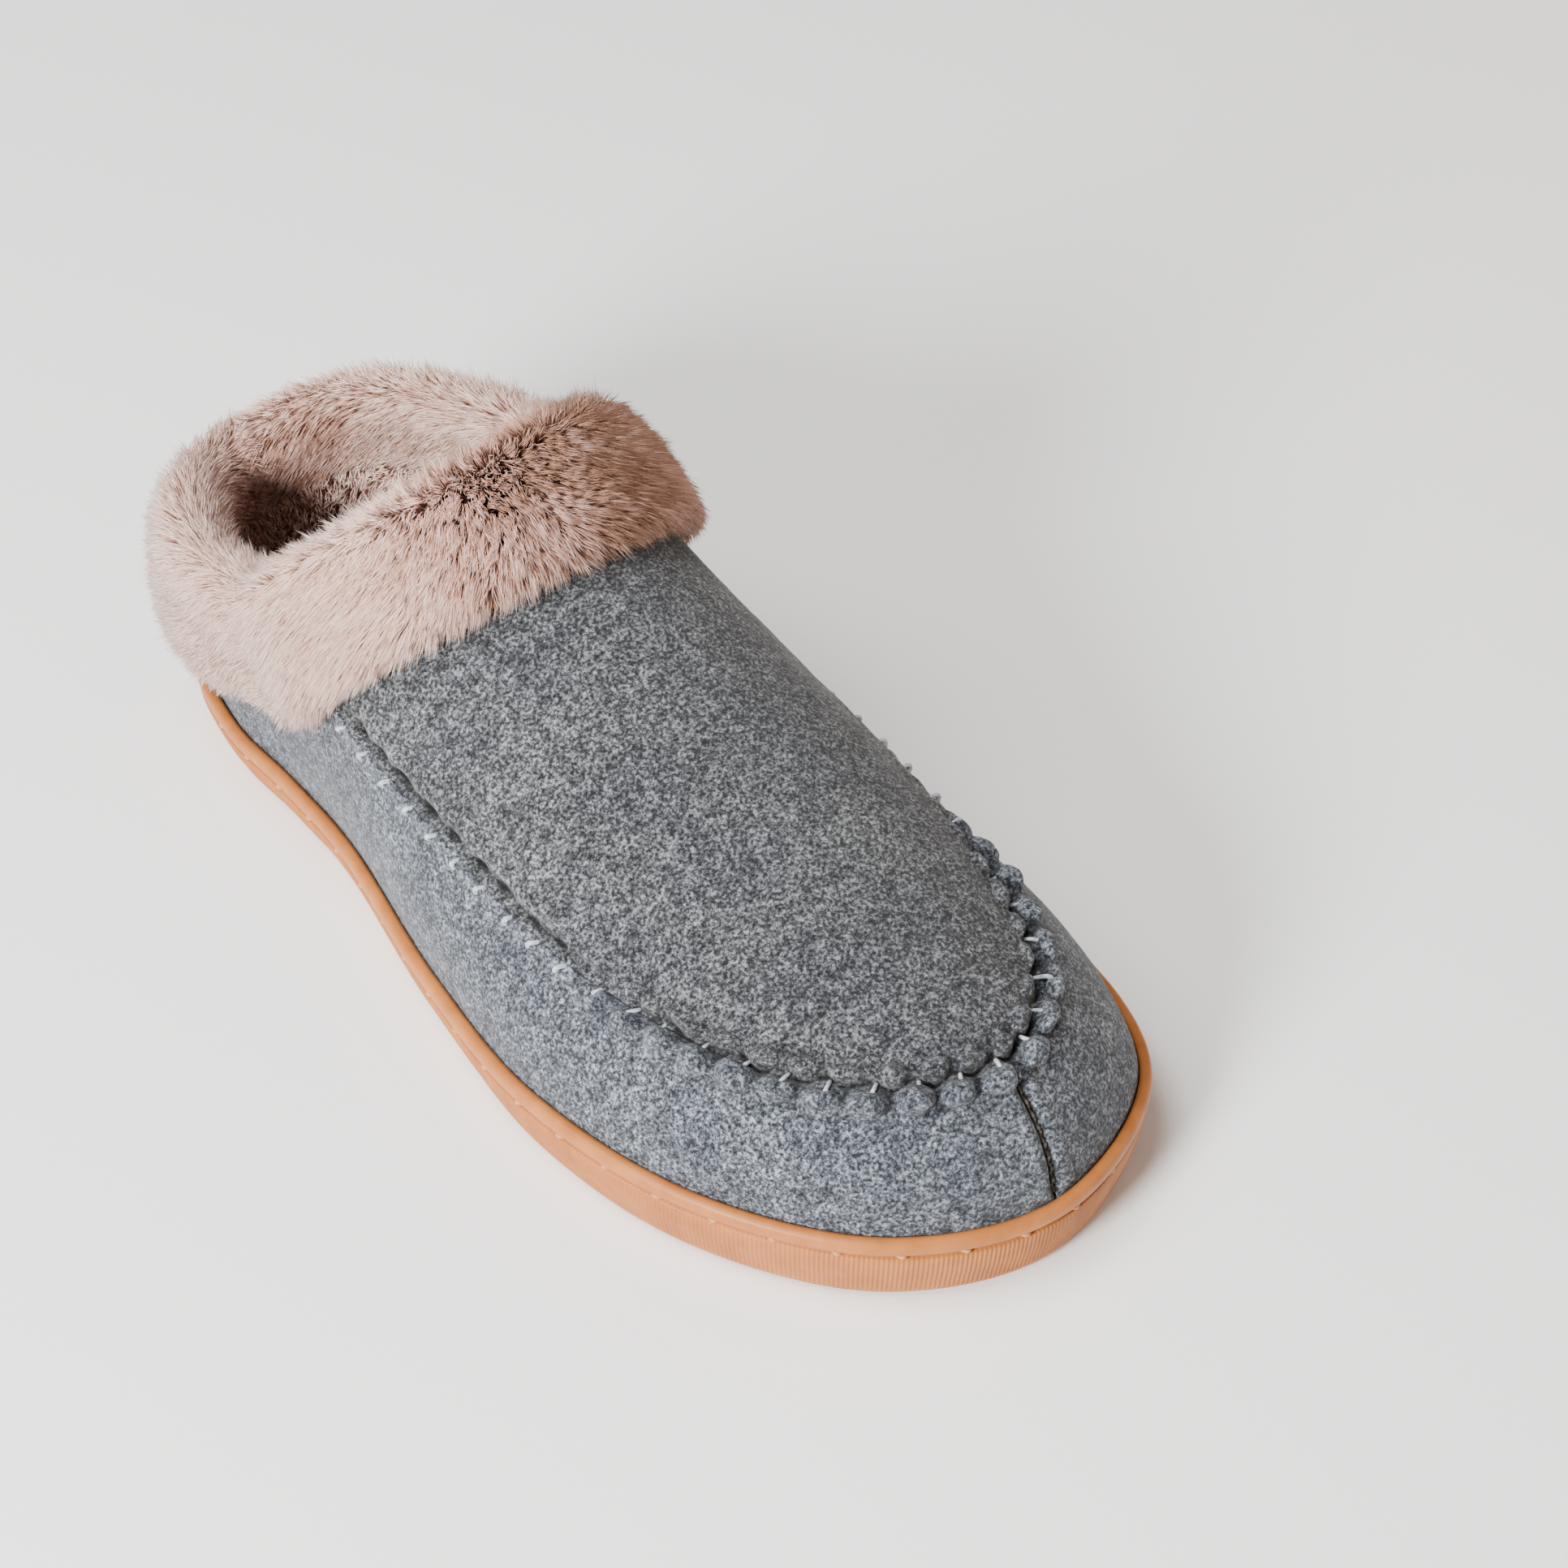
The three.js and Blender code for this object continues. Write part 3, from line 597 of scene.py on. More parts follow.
def toe_gather(points, x, along, wave, notch):
    """Round the toe: a row of lumps on each side of a wandering gap, and the painted shade for the pinched
    gaps between them.
    """
    row_panel = dome(x, along, -3.1, 3.1, 0.46 * stitch_pitch, 0.5)
    row_apron = dome(x, along, 3.2, 2.2, 0.42 * stitch_pitch, 0.0)
    lift = -1.8 * (0.5 + 0.5 * notch) * hump(x, 0.6 + 0.9 * wave, 0.8)
    lift += 0.6 * hump(x, -3.0, 4.5) + 3.7 * row_panel + 1.9 * row_apron
    lift += 0.6 * noise(points + 3.0, 1.6) * hump(x, -0.5, 5.0, 4)
    # painted shade mask: darkens the pinched gaps between the lumps
    pinch_shade = hump(x, -2.9, 3.3, 4) * (1 - smooth(row_panel / 0.45))
    return lift, np.maximum(pinch_shade, 0.8 * hump(x, 2.8, 2.4, 4) * (1 - smooth(row_apron / 0.45)))


def gather_felt(base, s, panel_side):
    """Height of the gathered felt beside the apron seam, the painted shade of its pinched gaps, and the
    distance from the seam.
    """
    away, along = seam_place(base)
    toe = toe_share(along)
    wander = noise(base, 6.0)
    x = (-away if panel_side else away) + 0.5 * noise(base + 50.0, 5.0)      # positive on the apron
    along = along + 0.9 * wander + 0.8 * noise(base + 21.0, 2.6)
    wave = np.cos(2 * math.pi * along / stitch_pitch)
    notch = np.clip(0.64 - 0.38 * wave + 0.45 * noise(base + 9.0, 4.0), 0.38, 1)
    round_toe, pinch_shade = toe_gather(base, x, along, wave, notch)
    lift = mix(straight_gather(x, wave, notch), round_toe, toe) * smooth((s - 0.42) / 0.06)
    return lift, pinch_shade * toe * (0.75 + 0.25 * wander), away


def crease_shade_of(lift, pinch_shade):
    """Painted shade of each point, 0..1: darker the deeper it lies in a groove of the seam, and in the
    pinched gaps between the toe lumps.
    """
    return np.maximum(smooth((-0.05 - lift) / 1.3), 0.8 * pinch_shade)


def paint_crease_shade(obj, crease_shade):
    """Stores the painted groove shade of the outer face; the inner face and the edges get none."""
    values = np.zeros(len(obj.data.vertices), np.float32)
    values[:crease_shade.size] = crease_shade.ravel()
    layer = obj.data.attributes.new("crease_shade", "FLOAT", "POINT")
    layer.data.foreach_set("value", values)


# ---------- felt ----------
def felt_relief(p):
    """Unevenness of felt: fuzz, lumps and broad waves."""
    return 0.10 * noise(p, 1.7) + 0.16 * noise(p, 5.0) + 0.25 * noise(p, 21.0)


TOE_CENTRE, HEEL_CENTRE = 0.9999, 0.0001


def side_panel_grids(side):
    """Outer face, inner face and painted groove shade of one side panel, finer toward the toe and the apron
    seam.
    """
    s = np.concatenate([np.linspace(0.002, 0.90, 300), np.linspace(0.9025, 0.9985, 90)])
    t = np.concatenate([np.linspace(-1, 0, 5), np.linspace(0.03, 0.84, 26), np.linspace(0.85, 0.9995, 24)])
    ss, tt = np.meshgrid(s, t, indexing="ij")
    c = np.where(side < 0, tt, 4 - tt)
    base, out = skin(ss, c), normal(ss, c)
    toe_gap = np.linalg.norm(base - skin(np.full_like(ss, TOE_CENTRE), c), axis=-1)
    visible = smooth(tt / 0.06)                # 0 inside the sole wall
    lift, pinch_shade, away = gather_felt(base, ss, True)
    toe_seam = -1.7 * hump(toe_gap, 0, 1.0) + 0.5 * hump(toe_gap, 3.2, 1.5)
    lift += toe_seam * smooth((away - 1.0) / 4.0)
    # painted shade in the seam grooves, none inside the sole wall
    crease_shade = crease_shade_of(lift, pinch_shade) * visible
    lift += felt_relief(base)
    outer = base + out * (lift * visible)[..., None]
    return outer, base - out * FELT, crease_shade


def make_side_panel(side, name):
    outer, inner, crease_shade = side_panel_grids(side)
    if side > 0:
        outer, inner, crease_shade = outer[::-1], inner[::-1], crease_shade[::-1]
    points, faces = slab(outer, inner)
    obj = dress(new_object(f"{name}_felt", points, faces, [FELT_SIDE]), "felt_side", name)
    paint_crease_shade(obj, crease_shade)


def make_apron():
    """The felt on top of the foot, finer toward the toe and both seams."""
    s = np.concatenate([np.linspace(0.997, 0.93, 60), np.linspace(0.9275, S_RIM, 220)])
    x = np.linspace(0, 1, 110)
    w = mix(0.0005, 0.9995, 0.5 - 0.5 * np.cos(math.pi * x))
    ss, ww = np.meshgrid(s, w, indexing="ij")
    c = 1 + 2 * ww
    base, out = skin(ss, c), normal(ss, c)
    lift, pinch_shade, _ = gather_felt(base, ss, False)
    # painted shade in the seam grooves
    crease_shade = crease_shade_of(lift, pinch_shade)
    lift += felt_relief(base)
    points, faces = slab(base + out * lift[..., None], base - out * FELT)
    obj = dress(new_object("apron_felt", points, faces, [FELT_APRON]), "felt_apron", "apron_panel")
    paint_crease_shade(obj, crease_shade)


def seam_frame(along):
    """Point, forward, outward and toward-panel directions at a place on the apron seam."""
    u = np.interp(along, seam_length, seam_u)
    p = top_edge(u)
    forward = unit(top_edge(u + 1e-4) - top_edge(u - 1e-4))
    s = np.where(u < 0.5, 2 * u, 2 - 2 * u)
    c = np.where(u < 0.5, 1.0, 3.0)
    out = normal(s, c)
    panel = unit(np.cross(forward, out))
    foot = outline(u) - p
    panel = panel * np.sign((panel * foot).sum(-1, keepdims=True))
    return p, forward, out, panel


def make_apron_stitches():
    """One whip stitch over the seam at each place, and the thread's run underneath."""
    parts = []
    for k in range(STITCHES + 1):
        along = np.array(np.clip((k + 0.05 * rng.normal()) * stitch_pitch, 0, seam_length[-1]))
        p, forward, out, panel = seam_frame(along)
        toe = float(toe_share(along))
        q = np.linspace(0, 1, 9)[:, None]
        lean = (q - 0.5) * mix(1.3, 2.0, toe) * (0.9 + 0.5 * rng.normal())
        across = mix(mix(2.7, 5.0, toe), mix(0.2, -1.0, toe), q)
        rise = mix(1.9, 2.4, toe) * np.sin(math.pi * np.clip(q, 0, 1)) - mix(0.4, 0.5, toe)
        path = p + panel * across + forward * lean + out * rise
        parts.append(tube(path, mix(0.72, 0.45, q[:, 0]), 8))
    under_depth, under_radius = 2.9, 0.45
    low = np.linspace(0, seam_length[-1], 900)
    p, _, out, panel = seam_frame(low)
    twist = (low / stitch_pitch * 2 * math.pi)[:, None]
    path = p - out * under_depth + panel * 0.35 * np.sin(twist) + out * 0.2 * np.cos(twist)
    parts.append(tube(path, under_radius, 7))
    points, faces = join_parts(parts)
    dress(new_object("apron_whip_stitches", points, faces, [YARN]), "apron_thread", "apron_seam_thread")


MACHINE_PITCH = 3.2                   # length of a machine stitch


def make_straight_seams():
    """Machine stitches that close the side panels at the toe and at the heel, sunk in the felt."""
    seams = ("toe_seam_thread", TOE_CENTRE, 0.95), ("back_seam_thread", HEEL_CENTRE, 0.3)
    for name, s, top in seams:
        t = np.linspace(0.03, top, 90)
        base, out = skin(np.full_like(t, s), t), normal(np.full_like(t, s), t)
        run = np.linalg.norm(base - base[0], axis=-1)
        wave = np.cos(run / MACHINE_PITCH * 2 * math.pi)
        path = base + out * (-1.15 + 0.3 * wave)[:, None]
        points, faces = tube(path, 0.4 + 0.08 * wave, 8)
        dress(new_object(f"{name}_stitched", points, faces, [SEAM_THREAD]), "seam_thread", name)


# ---------- cuffs ----------
# Places on the skin, (s, c): the lower corner and the rim end of the cuffs' side seams.
BACK_LOW = 0.34
CORNER, NOTCH = (0.415, 0.78), (0.30, 1)
CORNER_MED, NOTCH_MED = (0.415, 3.22), (0.30, 3)
front_low = catmull([
    CORNER, (0.436, 0.94), (0.446, 1.10), (0.454, 1.40), (0.457, 1.72), (0.456, 2.0), (0.451, 2.3),
    (0.445, 2.62), (0.437, 2.88), (0.430, 3.05), CORNER_MED])
front_rim = catmull([
    NOTCH, (0.325, 1.0), (S_RIM, 1.10), (S_RIM, 1.34), (S_RIM, 1.68), (S_RIM, 2.0), (S_RIM, 2.32),
    (S_RIM, 2.66), (S_RIM, 2.90), (0.325, 3.0), NOTCH_MED])


def front_stations(t):
    """Lower edge, rim and fatness of the front cuff from its lateral to its medial seam."""
    low, rim = front_low(t), front_rim(t)
    over = (rim[:, 1] > 1.001) & (rim[:, 1] < 2.999)
    rim[:, 0] = np.where(over, S_RIM, rim[:, 0])
    return low, rim, mix(0.7, 1, smooth(np.minimum(t, 1 - t) / 0.16))


def back_stations(t):
    """Lower edge, rim and fatness of the back cuff from its lateral to its medial seam."""
    k = 2 * t - 1
    a = np.abs(k)
    t_low = mix(BACK_LOW, CORNER[1], a**3.2)
    low = np.stack([0.411 * a, np.where(k < 0, t_low, 4 - t_low)], -1)
    rim = np.stack([0.296 * a, np.where(k < 0, 1.0, 3.0)], -1)
    return low, rim, np.full(len(t), 0.75)


def band_point(low, rim, out, along, length):
    """Point at a distance out from the felt and along the band, measured from its lower edge."""
    q = np.clip(along / length, 0, 1)

    def on(share):
        st = mix(low, rim, np.asarray(share)[..., None])
        return skin(st[..., 0], st[..., 1])

    p = on(q)
    zero = np.zeros_like(q)
    down = unit(on(zero) - on(zero + 0.08))
    up = unit(on(zero + 1) - on(zero + 0.92))
    p = p + down * np.maximum(0, -along)[..., None] + up * np.maximum(0, along - length)[..., None]
    st = mix(low, rim, q[..., None])
    return p + normal(st[..., 0], st[..., 1]) * out[..., None]


def band_length(low, rim):
    """Width of the cuff over the felt, from its lower edge to the rim."""
    q = np.linspace(0, 1, 7)[:, None, None]
    st = mix(low[None], rim[None], q)
    p = skin(st[..., 0], st[..., 1])
    return np.linalg.norm(np.diff(p, axis=0), axis=-1).sum(0)


def shell_profile(h, c):
    """Backing of the fur, out and along, from the lower edge over the rim to the inside."""
    one = np.ones_like(h)
    return [
        (0.8 * one, 2.4 * one), (0.22 * c, 1.0 * one), (0.38 * c, 1.4 * one), (0.48 * c, 4.0 * one),
        (0.53 * c, 0.27 * h), (0.56 * c, 0.5 * h), (0.55 * c, 0.75 * h), (0.50 * c, h - 1.5),
        (0.34 * c, h + 1.6), (0.08 * c, h + 2.8), (-2.6 * one, h + 2.3), (-5.0 * one, h - 0.2),
        (-6.4 * one, h - 3.5), (-6.8 * one, h - 8.0), (-6.9 * one, h - CUFF_DROP - 1.5)]


def band_grid(stations, t, rows):
    """Surface of a cuff's backing: rows from its lower edge to the inside, columns along it."""
    low, rim, fat = stations(t)
    h = band_length(low, rim)
    keys = np.stack([np.stack(k, -1) for k in shell_profile(h, CUFF * fat)])
    section = np.stack([curve_at(keys, share) for share in np.linspace(0, 1, rows)])
    out, along = section[..., 0], section[..., 1]
    lows, rims = np.broadcast_to(low, out.shape + (2,)), np.broadcast_to(rim, out.shape + (2,))
    return band_point(lows, rims, out, along, np.broadcast_to(h, out.shape))


def curve_at(row, share):
    """One value of a curve whose keys are whole rows of stations."""
    spans = len(row) - 1
    place = min(share * spans, spans - 1e-9)
    i = int(place)
    ext = np.concatenate([2 * row[:1] - row[1:2], row, 2 * row[-1:] - row[-2:-1]])
    return span(ext[i], ext[i + 1], ext[i + 2], ext[i + 3], place - i)


class Patch:
    """A grid surface that points can be scattered over."""

    def __init__(self, points):
        self.points = points
        du = np.gradient(points, axis=1)
        dv = np.gradient(points, axis=0)
        self.across, self.along = unit(du), unit(dv)
        self.normals = unit(np.cross(du, dv))
        corner = points[:-1, :-1]
        self.area = np.linalg.norm(np.cross(points[1:, :-1] - corner, points[:-1, 1:] - corner), axis=-1)

    def scatter(self, count):
        """Random places on the grid, evenly by area."""
        share = (self.area / self.area.sum()).ravel()
        i, j = np.unravel_index(rng.choice(share.size, count, p=share), self.area.shape)
        return i + rng.random(count), j + rng.random(count)

    def sample(self, grid, i, j):
        """Values of a grid at places between its points."""
        a, b = i.astype(int), j.astype(int)
        f, g = (i - a)[:, None], (j - b)[:, None]
        return mix(mix(grid[a, b], grid[a + 1, b], f), mix(grid[a, b + 1], grid[a + 1, b + 1], f), g)


STRANDS_A_PIECE = 18000
BEND_PLACE, BEND_WIDTH = 0.55, 0.42   # place of a hair's middle ring, and its radius per hair width


def strand_mesh(root, start, end, length, width):
    """Closed three-sided tapering hairs: a root ring, a middle ring and a tip."""
    count = len(root)

    def at(t):
        return root + length[:, None] * (start * (t - t * t / 2) + end * (t * t / 2))

    middle, tip = at(BEND_PLACE), at(1.0)
    axis = unit(tip - root)
    a = unit(np.cross(axis, rng.normal(size=(count, 3))))
    b = np.cross(axis, a)
    points = np.empty((count, 7, 3))
    for k in range(3):
        f = 2 * math.pi * k / 3
        ring = a * math.cos(f) + b * math.sin(f)
        points[:, k] = root + ring * (width / 2)[:, None]
        points[:, 3 + k] = middle + ring * (width * BEND_WIDTH)[:, None]
    points[:, 6] = tip
    local = [(0, 2, 1)]
    for k in range(3):
        n = (k + 1) % 3
        local += [(k, n, 3 + n), (k, 3 + n, 3 + k)]
    local += [(3 + k, 3 + (k + 1) % 3, 6) for k in range(3)]
    faces = (np.array(local)[None] + np.arange(count)[:, None, None] * 7).reshape(-1, 3)
    return points.reshape(-1, 3), faces


def strand_tones(tone, count):
    """Material of each face: the darker tone at the root, the hair's own tone at the tip."""
    lower = np.clip(tone - 1, 0, None)
    return np.concatenate([np.repeat(lower[:, None], 7, 1), np.repeat(tone[:, None], 3, 1)], 1).ravel()


def gather(root, start, end, length, share, pull):
    """Pulls the tips of neighbouring hairs together into tufts."""
    count = len(root)
    chosen = rng.choice(count, max(2, int(count * share)), replace=False)
    tree = kdtree.KDTree(len(chosen))
    for i, k in enumerate(chosen):
        tree.insert(Vector(root[k]), i)
    tree.balance()
    lead = chosen[np.array([tree.find(Vector(p))[1] for p in root])]
    lead_tip = root[lead] + length[lead, None] * (start[lead] + end[lead]) / 2
    tip = root + length[:, None] * (start + end) / 2
    strength = (pull * (0.6 + 0.4 * rng.random(count)))[:, None]
    bend = (lead_tip - tip) * strength / (length[:, None] / 2)
    return end + bend, lead


def fur_pieces(name, slot, node, root, start, end, length, width, tone):
    """The hairs as separate pieces of up to STRANDS_A_PIECE, each with hairs from all over."""
    order = rng.permutation(len(root))
    for part, first in enumerate(range(0, len(root), STRANDS_A_PIECE)):
        pick = order[first:first + STRANDS_A_PIECE]
        points, faces = strand_mesh(root[pick], start[pick], end[pick], length[pick], width[pick])
        index = strand_tones(tone[pick], len(pick))
        dress(new_object(f"{name}_{part + 1}", points, faces, FUR_TONES, index), slot, node)


def pick_tones(root, lead, bias):
    """Tone of each hair from broad patches, the tuft it is in and its own chance."""
    value = bias + 0.55 * noise(root, 9.0) + 0.3 * rng.normal(size=len(root))[lead]
    value = value + 0.55 * rng.normal(size=len(root))
    return np.clip(np.round(value), 1, len(FUR_TONES) - 1).astype(int)


def cuff_shell(name, node, slot, grid):
    """Backing of the cuff: the outer grid with an inner face close to the felt."""
    normals = Patch(grid).normals
    inner = grid - normals * 1.2
    points, faces = slab(grid.transpose(1, 0, 2), inner.transpose(1, 0, 2))
    obj = dress(new_object(name, points, faces, [FUR_BACKING]), slot, node)


RIM_PLACE = 0.62                      # share of the cuff's width where it turns inside
PALE, BROWN = 3.25, 1.5               # mean tone of the cuff hairs, as a place in FUR_TONES
SIDE_HAIR, CROWN_HAIR, RIM_HAIR = 8.6, 9.8, 7.0
HAIR_WIDTH, PILE_WIDTH = 0.25, 0.42
TUFT_SHARE = 1 / 16                   # share of the cuff hairs that lead a tuft


def cuff_tone(front, v, across):
    """Mean tone of the cuff hairs: browner over the instep, partly the fur's own tone and partly painted
    shade, and browner inside the heel as painted shade.
    """
    if front:
        # browner over the instep: partly the fur's own tone, partly painted shade on the crown and the
        # medial side
        shade = smooth((across - 0.25) / 0.35) * (1 - 0.75 * smooth((across - 0.74) / 0.2))
    else:
        # painted shade: browner on the inner leg deep inside the heel, toward the medial side
        shade = 0.85 * smooth((v - 0.66) / 0.1) * hump(across, 0.62, 0.14)
    return mix(PALE, BROWN, shade)


def cuff_fur(name, node, stations, strands, front):
    """Fur of one cuff: combed down and heelward at the sides, standing over the instep and the rim."""
    t = np.linspace(0.004, 0.996, 220)
    grid = band_grid(stations, t, 70)
    patch = Patch(grid)
    foot_middle = skin(np.array([0.2]), np.array([2.0]))
    outside = 35                               # a row on the outer side
    if (patch.normals[outside] * (grid[outside] - foot_middle)).sum(-1).mean() < 0:
        patch.normals = -patch.normals
    cuff_shell(f"{name}_backing", node, "cuff_fur", grid)
    i, j = patch.scatter(strands)
    root = patch.sample(patch.points, i, j)
    out = unit(patch.sample(patch.normals, i, j))
    down = -unit(patch.sample(patch.along, i, j))
    v = i / (grid.shape[0] - 1)
    across = j / (grid.shape[1] - 1)
    heelward = unit(patch.sample(patch.across, i, j)) * np.where((across < 0.5) == front, -1, 1)[:, None]
    turn = np.clip((RIM_PLACE - v) / 0.16, -1, 1)
    middle = hump(across, 0.5, 0.2) if front else np.zeros_like(v)
    rim = hump(v, RIM_PLACE, 0.12)
    rough = rng.normal(size=(strands, 3))
    swirl = np.stack([noise(root + k * 37.0, 14.0) for k in range(3)], -1)
    comb = mix(1.0, 0.1, middle) * (1 - 0.6 * rim)
    stand = mix(0.36, 1.1, middle) + 0.5 * rim
    hem = smooth((0.16 - v) / 0.16)
    turn = turn * (1 - 0.6 * hem)
    start = unit(out * (stand + 0.35)[:, None] + down * (0.55 * turn)[:, None]
                 + heelward * (0.5 * comb)[:, None] + 0.12 * rough + 0.15 * swirl)
    end = unit(out * (stand * 0.42)[:, None] + down * (mix(0.6, 0.85, middle) * turn)[:, None]
               + heelward * (1.25 * comb)[:, None] + 0.16 * rough + 0.28 * swirl)
    length = mix(mix(SIDE_HAIR, CROWN_HAIR, middle), RIM_HAIR, rim) * (1 + 0.16 * rng.normal(size=strands))
    length = np.clip(length, 4.0, 12.0) * np.where(v > 0.8, 0.75, 1) * mix(1.0, 0.54, hem)
    end, lead = gather(root, start, end, length, TUFT_SHARE, mix(0.4, 0.7, middle) * (1 - 0.5 * hem))
    width = np.clip(HAIR_WIDTH * (1 + 0.2 * rng.normal(size=strands)), 0.15, 0.4)
    tone = pick_tones(root, lead, cuff_tone(front, v, across))
    fur_pieces(name, "cuff_fur", node, root, start, end, length, width, tone)


def make_cuff_seams():
    """Thread that closes each side seam of the cuff, sunk in the fur."""
    count, pitch = 120, 3.0
    for side, low, rim in (("lateral", CORNER, NOTCH), ("medial", CORNER_MED, NOTCH_MED)):
        share = np.linspace(0.06, 0.94, count)
        lows = np.broadcast_to(np.array(low, float), (count, 2))
        rims = np.broadcast_to(np.array(rim, float), (count, 2))
        h = band_length(lows, rims)
        wave = np.cos(share * h / pitch * 2 * math.pi)
        path = band_point(lows, rims, 0.56 * CUFF * 0.75 + 0.4 + 0.25 * wave, share * h, h)
        points, faces = tube(path, 0.42 + 0.08 * wave, 8)
        name = f"collar_seam_thread_{side}"
        dress(new_object(f"{name}_stitched", points, faces, [SEAM_THREAD]), "seam_thread", name)


# ---------- linings ----------
PILE_STRANDS = 18000


def pile(name, slot, node, patch, length, bias, lean):
    """Short plush over a patch, paler toward the mouth and the heel as painted light, and browner deeper
    inside as painted shade.
    """
    i, j = patch.scatter(PILE_STRANDS)
    root = patch.sample(patch.points, i, j)
    out = unit(patch.sample(patch.normals, i, j))
    rough = rng.normal(size=(PILE_STRANDS, 3))
    swirl = np.stack([noise(root + k * 41.0, 10.0) for k in range(3)], -1)
    start = unit(out + 0.25 * rough + 0.3 * swirl)
    end = unit(out * 0.7 + lean + 0.3 * rough + 0.6 * swirl)
    size = np.clip(length * (1 + 0.2 * rng.normal(size=PILE_STRANDS)), length * 0.5, length * 1.5)
    end, lead = gather(root, start, end, size, 1 / 18, 0.5)
    width = np.clip(PILE_WIDTH * (1 + 0.2 * rng.normal(size=PILE_STRANDS)), 0.25, 0.6)
    # painted light and shade: paler high up toward the mouth and toward the heel, browner lower down and
    # toward the toe
    high, heelward = smooth((root[:, 2] - 40) / 28), smooth((root[:, 1] - 78) / 32)
    tone = pick_tones(root, lead, bias + 1.3 * high + 1.2 * heelward)
    fur_pieces(name, slot, node, root, start, end, size, width, tone)


def facing(patch, toward):
    """Turns the patch's normals toward a point."""
    look = (patch.normals * (np.asarray(toward) - patch.points)).sum(-1).mean()
    if look < 0:
        patch.normals = -patch.normals
    return patch


def lining_face(s, c, depth):
    """Face of a lining at a depth below the felt, kept above the insole board."""
    p = offset_skin(s, c, depth)
    p[..., 2] = np.maximum(p[..., 2], BOARD_TOP + 0.4)
    return p


def make_lining(node, outer, inner, middle):
    """Backing of a lining; returns its inner face, turned toward the middle of its space."""
    points, faces = slab(outer, inner)
    dress(new_object(f"{node}_backing", points, faces, [LINING_BACKING]), "plush_lining", node)
    return facing(Patch(inner), middle)


def make_quarter_lining():
    """Plush round the heel, up to the cuff's inner edge."""
    reach = 0.39                               # station where it meets the vamp lining
    k, q = np.meshgrid(np.linspace(-reach, reach, 150), np.linspace(0, 1, 36), indexing="ij")
    t = q * ramp([0.71, 0.72, 0.735, 0.755, 0.79, 0.83, 0.93], np.abs(k) / reach)
    s, c = np.abs(k), np.where(k < 0, t, 4 - t)
    outer, inner = lining_face(s, c, LINING_OUT), lining_face(s, c, 6.4)
    inner = inner + normal(s, c) * (0.3 * noise(inner, 4.0))[..., None]
    patch = make_lining("quarter_lining", outer, inner, (0, 90, 60))
    pile("quarter_lining_pile", "plush_lining", "quarter_lining", patch, 4.6, 1.7, np.array([0, 0, -0.3]))


def make_vamp_lining():
    """Plush over the front of the foot, from the toe to the quarter lining."""
    s = np.concatenate([[0.999, 0.985, 0.96], np.linspace(0.925, 0.394, 70)])
    c = np.concatenate([np.linspace(0, 1, 22), np.linspace(1.04, 2.96, 50), np.linspace(3, 4, 22)])
    ss, cc = np.meshgrid(s, c, indexing="ij")
    outer, inner = lining_face(ss, cc, LINING_OUT), lining_face(ss, cc, 7.2)
    for p in (outer, inner):
        p[0] = (p[0] + p[0][::-1]) / 2         # both halves meet in one line at the toe
    patch = make_lining("vamp_lining", outer, inner, (0, -30, 40))
    patch.area = patch.area * mix(0.35, 1.6, smooth((0.75 - ss[:-1, :-1]) / 0.35))   # denser near the mouth
    pile("vamp_lining_pile", "plush_lining", "vamp_lining", patch, 4.4, 1.7, np.array([0, -0.2, 0]))


def make_sock_liner():
    """Plush insole: a pad with a rolled edge and a slightly uneven top, and its pile."""
    u = np.linspace(0, 1, 260, endpoint=False)
    depth, top = LASTED + 1.8, LINER_TOP
    rows = [(depth, FOAM_TOP + GAP), (depth, top - 1.0), (depth + 0.5, top - 0.3), (depth + 1.4, top)]
    rings = [inset_point(u, d, z) for d, z in rows]
    axis = rings[-1] * np.array([0.0, 0.82, 1.0])      # lengthwise line on which the top closes
    steps = [mix(rings[-1], axis, k) for k in np.linspace(0.06, 1, 22)]
    points = np.vstack(rings + steps)
    top_start = len(rings) * len(u)
    points[top_start:, 2] += 0.35 * noise(points[top_start:], 14.0)
    faces = grid_faces(len(rings) + len(steps), len(u), wrap_cols=True)
    bottom = mix(rings[0].mean(0), rings[0], 0.02)
    points = np.vstack([points, bottom])
    last = len(points) - len(u)
    j = np.arange(len(u))
    k = (j + 1) % len(u)
    faces = np.vstack([faces, np.stack([last + j, last + k, k, j], 1)])
    obj = new_object("sock_liner_backing", points, faces, [PLUSH_BACKING])
    dress(obj, "plush_liner", "sock_liner")
    grid = np.stack([rings[-1]] + steps)
    grid = np.concatenate([grid, grid[:, :1]], 1)
    patch = Patch(grid)
    patch.normals = np.broadcast_to(np.array([0, 0, 1.0]), patch.normals.shape).copy()
    pile("sock_liner_pile", "plush_liner", "sock_liner", patch, 4.0, 2.6, np.array([0, 0.3, 0]))


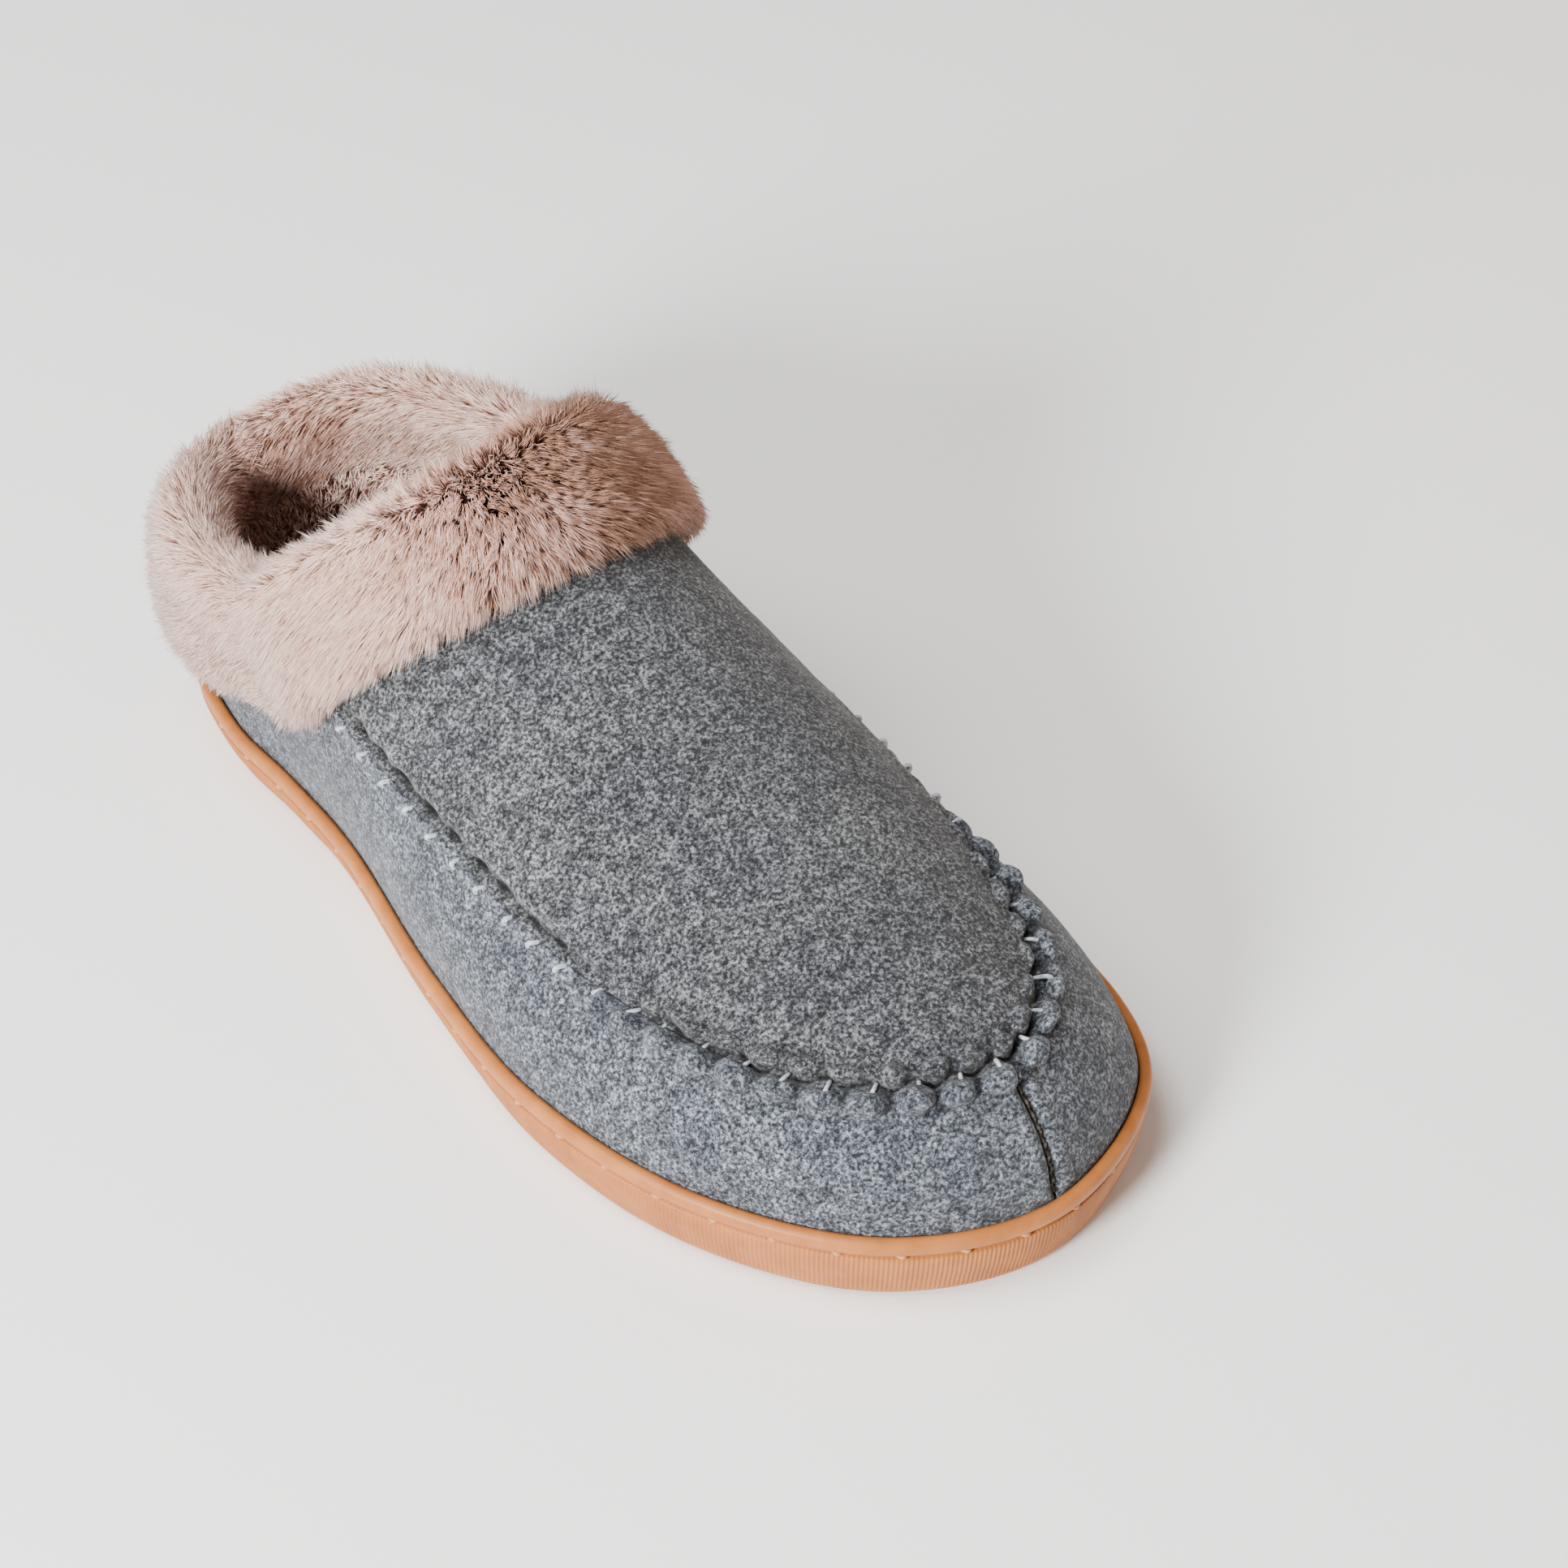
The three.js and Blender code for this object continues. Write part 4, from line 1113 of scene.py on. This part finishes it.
# ---------- hidden pieces ----------
def make_foam(node, slot, cell):
    """Cut foam as its own piece: the solid with its corners rounded off and a slightly uneven face."""
    shaper = add_object("foam_shaper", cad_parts[node].data.copy())
    remesh = shaper.modifiers.new("remesh", "REMESH")
    remesh.mode = "VOXEL"
    remesh.voxel_size = cell * MM
    relax = shaper.modifiers.new("relax", "SMOOTH")
    relax.factor = 0.5
    relax.iterations = 3
    shaped = shaper.evaluated_get(bpy.context.evaluated_depsgraph_get()).to_mesh()
    shaped.calc_loop_triangles()
    points = np.array([v.co for v in shaped.vertices]) / MM
    faces = np.array([t.vertices for t in shaped.loop_triangles])
    normals = np.array([v.normal for v in shaped.vertices])
    bpy.data.objects.remove(shaper)
    low, high = [np.array(b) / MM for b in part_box(node)]
    points = np.clip(points - normals * (0.12 + 0.1 * noise(points, 3.0))[:, None], low, high)
    obj = dress(new_object(f"{node}_cut", points - SHIFT, faces, [FOAM]), slot, node)


def finish_node(node, material):
    """Gives a CAD node that stays as it is its material."""
    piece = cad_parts[node]
    piece.data.materials.clear()
    piece.data.materials.append(material)


# ---------- build ----------
make_sole()
make_sole_thread()
make_side_panel(-1, "side_panel_lateral")
make_side_panel(1, "side_panel_medial")
make_apron()
make_apron_stitches()
make_straight_seams()
cuff_fur("collar_front", "collar_front_fur", front_stations, 72000, True)
cuff_fur("collar_back", "collar_back_fur", back_stations, 54000, False)
make_cuff_seams()
make_quarter_lining()
make_vamp_lining()
make_sock_liner()
make_foam("midsole_filler", "filler_foam", 1.6)
make_foam("footbed_foam", "soft_foam", 1.4)
make_foam("collar_front_foam", "soft_foam", 0.9)
make_foam("collar_back_foam", "soft_foam", 0.9)
finish_node("insole_board", BOARD)
finish_node("lasting_seam_thread", SEAM_THREAD)
finish_node("toe_stiffener", STIFF)
finish_node("heel_counter", STIFF)


# ---------- stage ----------
def area_light(name, place, aim, size, power, colour):
    data = bpy.data.lights.new(name, "AREA")
    data.shape = "DISK"
    data.size = size
    data.energy = power
    data.color = colour
    obj = add_object(name, data)
    obj.location = place
    obj.rotation_mode = "QUATERNION"
    obj.rotation_quaternion = (Vector(aim) - Vector(place)).to_track_quat("-Z", "Y")


def make_stage():
    """Pale floor, plain world light, a soft key, a broad top light and a weak warm fill."""
    mesh = bpy.data.meshes.new("floor")
    half = 6.0
    corners = [(-half, -half, 0), (half, -half, 0), (half, half, 0), (-half, half, 0)]
    mesh.from_pydata(corners, [], [(0, 1, 2, 3)])
    mesh.materials.append(principled("floor_pale", (252, 252, 252), 0.9))
    floor = add_object("floor", mesh)
    floor.location = (0, 0, -0.0002)
    world = bpy.context.scene.world or bpy.data.worlds.new("studio")
    bpy.context.scene.world = world
    world.use_nodes = True
    sky = world.node_tree.nodes["Background"]
    sky.inputs["Color"].default_value = (1.0, 1.0, 1.0, 1.0)
    sky.inputs["Strength"].default_value = 0.27
    area_light("key", (-1.35, -0.3, 0.66), (0, 0, 0.05), 0.45, 58, (1.0, 0.99, 0.97))
    area_light("top", (-0.9, 0.4, 2.1), (0, 0, 0), 1.6, 66, (1.0, 0.99, 0.98))
    area_light("fill", (1.3, -0.7, 0.4), (0, 0, 0.05), 0.8, 7.0, (1.0, 0.7, 0.46))


CAMERA_AZIMUTH, CAMERA_ELEVATION = math.radians(-41), math.radians(41)
CAMERA_DISTANCE = 850.0               # from a point 40 mm above the middle of the sole
SENSOR_MM, LENS_MM = 36, 84.736
PAN_RIGHT, PAN_UP = 0.0442, 0.00418   # how far the view is turned from that point, as tangents


def make_camera():
    """Camera from the front on the lateral side."""
    right = np.array([math.cos(CAMERA_AZIMUTH), math.sin(CAMERA_AZIMUTH), 0])
    front = np.array([right[1], -right[0], 0])
    back = front * math.cos(CAMERA_ELEVATION) + np.array([0, 0, math.sin(CAMERA_ELEVATION)])
    up = np.cross(back, right)
    aim = unit(-back + right * PAN_RIGHT + up * PAN_UP)
    right = unit(right - aim * (right @ aim))
    axes = Matrix(np.stack([right, np.cross(right, aim), -aim], 1).tolist())
    data = bpy.data.cameras.new("camera")
    data.sensor_width = SENSOR_MM
    data.lens = LENS_MM
    data.clip_start, data.clip_end = 0.05, 50
    obj = add_object("camera", data)
    obj.location = to_row(np.array([0, 0, 40]) + back * CAMERA_DISTANCE)
    obj.rotation_mode = "QUATERNION"
    obj.rotation_quaternion = axes.to_quaternion()
    bpy.context.scene.camera = obj


make_stage()
make_camera()
